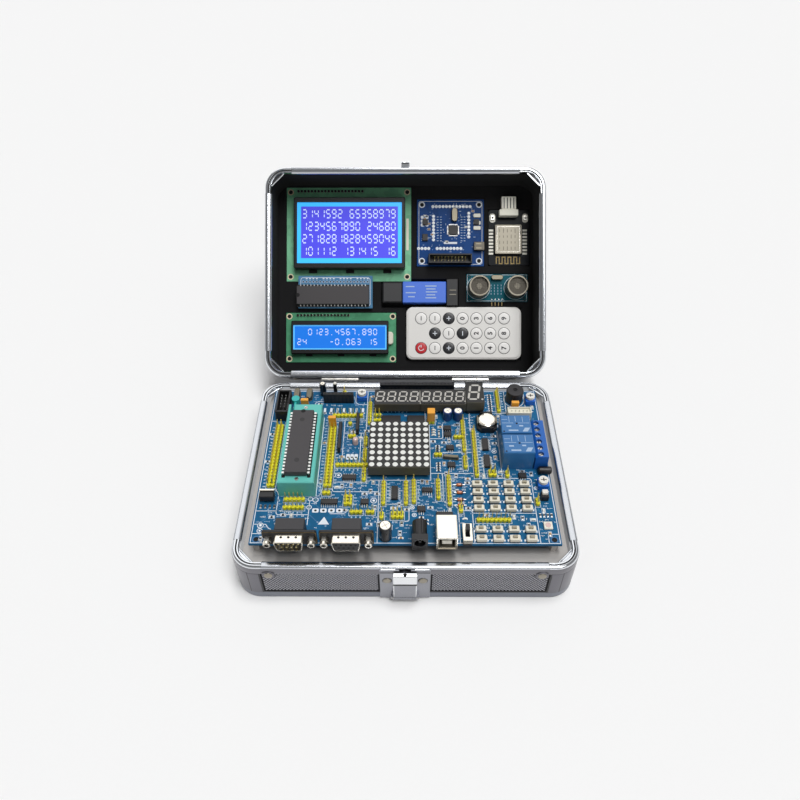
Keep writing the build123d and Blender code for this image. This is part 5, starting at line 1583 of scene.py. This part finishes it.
# tall white pads at the left, a column of short dashes beside each inner row, and small label strokes
for column_x in (-21.4, -17.6):
    for index in range(3):
        pad = at(column_x, 6.0 + index * 2.9, board_thick)
        converter.prism(pad, rounded_rectangle(2.0, 2.3, 0.6), 0.06, white_ink, 0)
for column_x in (-9.6, -7.2, 8.4, 10.6):
    for index in range(10):
        converter.box(at(column_x, -6.0 + index * 2.0, board_thick), 1.3, 0.5, 0.05, pale_ink, 0.01)
for block_y in (3.6, 7.4, 13.0):
    converter.prism(at(20.0, block_y, board_thick), rounded_rectangle(5.4, 2.8, 0.8), 0.9, lamp_white, 0.15)
for _ in range(90):
    x, y = chance.uniform(-22, 22), chance.uniform(-15, 22)
    if abs(x - 2) > 5.5 or abs(y - 2) > 5.5:
        size_x, size_y = chance.choice(((1.6, 0.35), (0.35, 1.3), (1.0, 0.35), (0.4, 0.4)))
        converter.box(at(x, y, board_thick), size_x, size_y, 0.05, pale_ink, 0.01)
converter.box(at(0.0, -7.6, board_thick), 10.0, 1.5, 0.05, white_ink, 0.01)
# the chip with eleven leads on each of its four sides
chip_spot = at(2.0, 2.0, board_thick)
converter.box(chip_spot, 7.0, 7.0, 1.4, small_epoxy, 0.15)
for turn in (0, 90, 180, 270):
    for x in spaced(11, 0.6):
        lead = chip_spot @ at(turn=turn) @ at(x, 4.0, 0.05)
        converter.box(lead, 0.3, 1.2, 0.3, tin_plate, 0.03)
# its crystal, and the small data socket at the right edge
converter.prism(at(3.0, 13.2, board_thick), rounded_rectangle(4.4, 10.4, 2.1), 3.0, crystal_steel, 0.4)
converter.box(at(21.4, -10.6, board_thick), 8.0, 6.4, 3.6, mesh_steel, 0.3)
for y in (-12.2, -9.0):
    converter.box(at(21.0, y, 5.15), 4.0, 1.0, 0.12, crystal_steel, 0.03)
converter.box(at(25.2, -10.6, 2.2), 0.3, 5.0, 2.2, painted_hole_shade, 0.05)
for x, y, length in ((-19.2, -3.6, 5.0), (-19.0, 8.0, 4.0), (19.5, 8.0, 4.0)):
    converter.box(at(x, y, board_thick), 4.0, length, 1.6, small_epoxy, 0.15)
for _ in range(16):
    x, y = chance.uniform(-20, 20), chance.uniform(-9, 17)
    if abs(x - 2) > 6 or abs(y - 2) > 6:
        finish = chance.choice((ceramic_tan, small_epoxy, lamp_white))
        converter.box(at(x, y, board_thick), 1.6, 0.9, 0.5, finish, 0.08)
        converter.stroke(rectangle(2.4, 1.5), 0.15, white_ink, True, move=at(x, y, board_thick))
converter.done()

# Wireless module: shield can, soldered edge pads, two keys, a plug and the aerial track
wifi_place = module_place("wifi_module", front=21.0)
wifi = Piece("wifi_board", wifi_place, "lid", replaces=("wifi_module",))
wifi.prism(Matrix(), rounded_rectangle(31.0, 42.0, 2.0), board_thick, black_mask, 0.1)
wifi.prism(at(-0.9, -1.8, board_thick), rounded_rectangle(20.0, 22.0, 0.8), 3.0, shield_steel, 0.25)
wifi.stroke(rounded_rectangle(17.0, 19.0, 0.8), 0.2, nickel_shell, True, move=at(-0.9, -1.8, 4.59))
for column in range(5):
    for row in range(4):
        mark_x, mark_y = -6.6 + column * 2.9, -8.6 + row * 4.4
        wifi.box(at(mark_x - 0.9, mark_y, 4.58), 0.5, chance.uniform(1.4, 3.4), 0.06, mesh_steel, 0.01)
for side in (-1, 1):
    for index in range(8):
        y = -12.0 + index * 2.5
        wifi.box(at(side * 12.7 - 0.9, y, pad_z), 3.4, 1.5, 0.14, lamp_white, 0.03)
    wifi.box(at(side * 9.0 - 0.9, 5.0, 4.58), 0.5, 7.0, 0.06, print_grey, 0.01)
    wifi.prism(at(side * 12.3 - 0.2, 14.8, pad_z), rounded_rectangle(4.4, 6.8, 2.1), 0.08, lamp_white, 0)
    wifi.box(at(side * 12.3 - 0.2, 14.8, board_thick), 2.6, 3.6, 1.2, nickel_shell, 0.15)
    wifi.rod(at(side * 12.3 - 0.2, 14.8, 2.7), 0.8, 0.5, nylon_black, 0.1, sides=14)
# the plug in its paler cream: painted light against the lid's shade
wifi.box(at(-0.9, 17.6, board_thick), 14.0, 4.8, 6.0, plug_cream_painted_light, 0.3)
wifi.box(at(-0.9, 24.8, 2.2), 10.8, 9.6, 5.4, plug_cream_painted_light, 0.4)
for x in spaced(4, 2.4):
    wifi.box(at(-0.9 + x, 24.6, 7.5), 0.7, 8.0, 0.15, print_grey, 0.03)
antenna = []
for index in range(9):
    x = -9.6 + index * 2.2
    ends = [(x, -19.6), (x, -14.6)]
    antenna += ends[::-1] if index % 2 else ends
wifi.stroke(antenna, 0.7, gold_print, move=at(0, 0, board_thick), thick=0.06)
wifi.done()

# Range sensor: two meshed transducers, a crystal and four angled pins
sensor_place = module_place("range_sensor", back=10.5)
sensor = Piece("range_sensor_module", sensor_place, "lid", replaces=("range_sensor",))
module_board(sensor, 46.0, 21.0, teal_mask)
sensor.stroke(rectangle(44.6, 19.6), 0.25, white_ink, True, move=at(0, 0, board_thick))
mesh_radius = 6.7
for side in (-1, 1):
    x = side * 14.0
    sensor.tube(at(x, 0, board_thick), circle(7.9, 40), circle(6.6, 40), 11.4, shield_steel, 0.35)
    sensor.rod(at(x, 0, board_thick), mesh_radius, 8.6, mesh_steel, 0.1, sides=36)
    sensor.rod(at(x, 0, 10.1), 2.3, 0.5, shield_steel, 0.2)
    for offset in spaced(11, 1.2):
        chord = 2 * math.sqrt(mesh_radius ** 2 - offset ** 2)
        sensor.box(at(x + offset, 0, 11.5), 0.2, chord, 0.2, mesh_steel, 0.03)
        sensor.box(at(x, offset, 11.6), chord, 0.2, 0.2, mesh_steel, 0.03)
    ring_points = [point + Vector((x, 0)) for point in circle(8.7, 32)]
    sensor.stroke(ring_points, 0.3, white_ink, True, move=at(0, 0, board_thick))
    for y in (-8.6, 8.6):
        sensor.tube(at(side * 21.0, y, pad_z), circle(1.3, 16), circle(0.8, 16), 0.1, painted_hole_shade, 0.01)
sensor.prism(at(0, 7.6, board_thick), rounded_rectangle(9.0, 3.8, 1.8), 3.0, crystal_steel, 0.4)
for x in spaced(4, pitch):
    pin(sensor, at(x, -6.6, board_thick - 0.79, 90, "X"), 7.2, flange_gold, 0.5)
    sensor.rod(at(x, -8.6, pad_z), 0.55, 0.4, solder, 0.15, sides=12)
    for row in range(4):
        sensor.box(at(x - 0.6, -4.4 + row * 2.1, board_thick), 0.35, 1.3, 0.05, pale_ink, 0.01)
sensor.done()

# Remote: a flat card with three rows of round keys
remote = Piece("remote_handset", module_place("remote_control"), "lid", replaces=("remote_control",))
remote.prism(Matrix(), rounded_rectangle(86.0, 39.4, 5.0, 8), 6.2, remote_white, 0.6)
remote.prism(at(0, 0, 6.1), rounded_rectangle(83.6, 37.0, 4.4, 8), 0.6, remote_white, 0.25)
key_rows = (11.1, -0.1, -11.1)
key_pitch = 10.33
key_profile = [(4.15, 0), (4.15, 0.3), (3.9, 0.48), (3.0, 0.58), (0.5, 0.6)]
marks = (
    ("A", "<", "-", "0", "3", "6", "9"),
    (None, "+", "=", "-", "2", "5", "8"),
    ("O", "T", "+", "0", "1", "4", "7"),
)
dark_keys = {(0, 2), (1, 1), (1, 3), (2, 2)}
for row, y in enumerate(key_rows):
    for column in range(7):
        if marks[row][column] is None:
            continue
        x = -31.9 + column * key_pitch
        finish = key_black if (row, column) in dark_keys else key_white
        if (row, column) == (2, 0):
            finish = key_red
        remote.tube(at(x, y, 6.6), circle(4.5, 32), circle(4.1, 32), 0.22, print_grey, 0.03)
        remote.lathe(at(x, y, 6.5), key_profile, finish, 32)
        ink = white_ink if finish is not key_white else print_grey
        if column >= 3 and (row, column) not in dark_keys:
            remote.word(at(x, y, 7.11, 90), marks[row][column], 4.8, ink)
        elif (row, column) == (2, 0):
            remote.stroke(circle(1.9, 20)[6:], 0.5, ink, move=at(x, y, 7.1))
            remote.stroke([(0, 0.4), (0, 2.4)], 0.5, ink, move=at(x, y, 7.1))
        else:
            remote.stroke([(0, -1.6), (0, 1.6)], 0.6, ink, move=at(x, y, 7.1))
            if finish is key_black and column != 3:
                remote.stroke([(-1.6, 0), (1.6, 0)], 0.6, ink, move=at(x, y, 7.1))
remote.done()

# Floor, light and camera
floor_reach = 6.0             # in metres
floor_mesh = bpy.data.meshes.new("floor")
floor_corners = [(*corner, 0) for corner in rectangle(2 * floor_reach, 2 * floor_reach)]
floor_mesh.from_pydata(floor_corners, [], [(0, 1, 2, 3)])
floor = bpy.data.objects.new("floor", floor_mesh)
bpy.context.scene.collection.objects.link(floor)
floor_mesh.materials.append(surface("matt_white_paper", "#f7f7f7", 0.85, 2.0, 0.004, 0.002))
floor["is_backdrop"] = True

world = bpy.data.worlds.new("studio")
world.use_nodes = True
bpy.context.scene.world = world
tree = world.node_tree
tree.nodes.clear()
# White wall at the horizon, a dimmer ceiling, and one broad bright window high at the back
way = add(tree, "ShaderNodeTexCoord").outputs["Generated"]
height = add(tree, "ShaderNodeSeparateXYZ", {0: way}).outputs["Z"]
wall = add(tree, "ShaderNodeMapRange", {"Value": height, "From Min": 0.12, "From Max": 0.5, "To Min": 1.0,
                                        "To Max": 0.2}).outputs[0]
window_way = Vector((-0.15, 0.66, 0.74)).normalized()
towards = add(tree, "ShaderNodeVectorMath", {0: way, 1: window_way}, operation="DOT_PRODUCT").outputs["Value"]
window = add(tree, "ShaderNodeMapRange", {"Value": towards, "From Min": 0.82, "From Max": 0.93, "To Min": 0.0,
                                          "To Max": 1.2}).outputs[0]
level = add(tree, "ShaderNodeMath", {0: wall, 1: window}).outputs[0]
# the camera sees plain white behind the floor, and metal and glass see the wall, ceiling and window
rays = add(tree, "ShaderNodeLightPath").outputs
level = add(tree, "ShaderNodeMath", {0: level, 1: rays["Is Camera Ray"]}, operation="MAXIMUM").outputs[0]
backdrop = add(tree, "ShaderNodeBackground", {"Color": (1, 1, 1, 1), "Strength": level})
ambient = add(tree, "ShaderNodeBackground", {"Color": (1, 1, 1, 1), "Strength": 0.24})
shown = rays["Is Camera Ray"]
for ray in ("Is Glossy Ray", "Is Transmission Ray"):
    shown = add(tree, "ShaderNodeMath", {0: shown, 1: rays[ray]}, operation="MAXIMUM").outputs[0]
whole = add(tree, "ShaderNodeMixShader", {0: shown, 1: ambient.outputs[0], 2: backdrop.outputs[0]})
add(tree, "ShaderNodeOutputWorld", {"Surface": whole.outputs[0]})


def sun(name, way, strength, spread):
    """A distant lamp of even strength, with a spread in degrees that softens its shadows."""
    data = bpy.data.lights.new(name, "SUN")
    data.energy = strength
    data.angle = math.radians(spread)
    thing = bpy.data.objects.new(name, data)
    thing.rotation_euler = Vector(way).to_track_quat("Z", "Y").to_euler()
    bpy.context.scene.collection.objects.link(thing)


sun("window_light", (0.1, 0.08, 1.0), 1.0, 16)
sun("front_fill", (0.26, -0.34, 1.0), 1.5, 28)

# The camera fitted to the photograph: its spot in metres, its angles, and its focal length in pixels
camera_spot = (-0.00011, -0.28516, 0.38157)
pitch_down, yaw, roll = math.radians(45.64), math.radians(-0.58), math.radians(-0.36)
focal_pixels, picture_pixels, sensor_width = 710.21, 800, 36.0
level_way = Vector((math.sin(yaw), math.cos(yaw), 0))
forward = level_way * math.cos(pitch_down) - Vector((0, 0, math.sin(pitch_down)))
right = Vector((math.cos(yaw), -math.sin(yaw), 0))
up = right.cross(forward)
right_rolled = right * math.cos(roll) + up * math.sin(roll)
up_rolled = up * math.cos(roll) - right * math.sin(roll)
camera_data = bpy.data.cameras.new("camera")
camera_data.sensor_width = sensor_width
camera_data.lens = sensor_width * focal_pixels / picture_pixels
camera_data.clip_start = 0.01
camera = bpy.data.objects.new("camera", camera_data)
turn = Matrix((right_rolled, up_rolled, -forward)).transposed().to_4x4()
camera.matrix_world = Matrix.Translation(camera_spot) @ turn
bpy.context.scene.collection.objects.link(camera)
bpy.context.scene.camera = camera
bpy.context.scene.view_settings.view_transform = "Standard"

low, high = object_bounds()
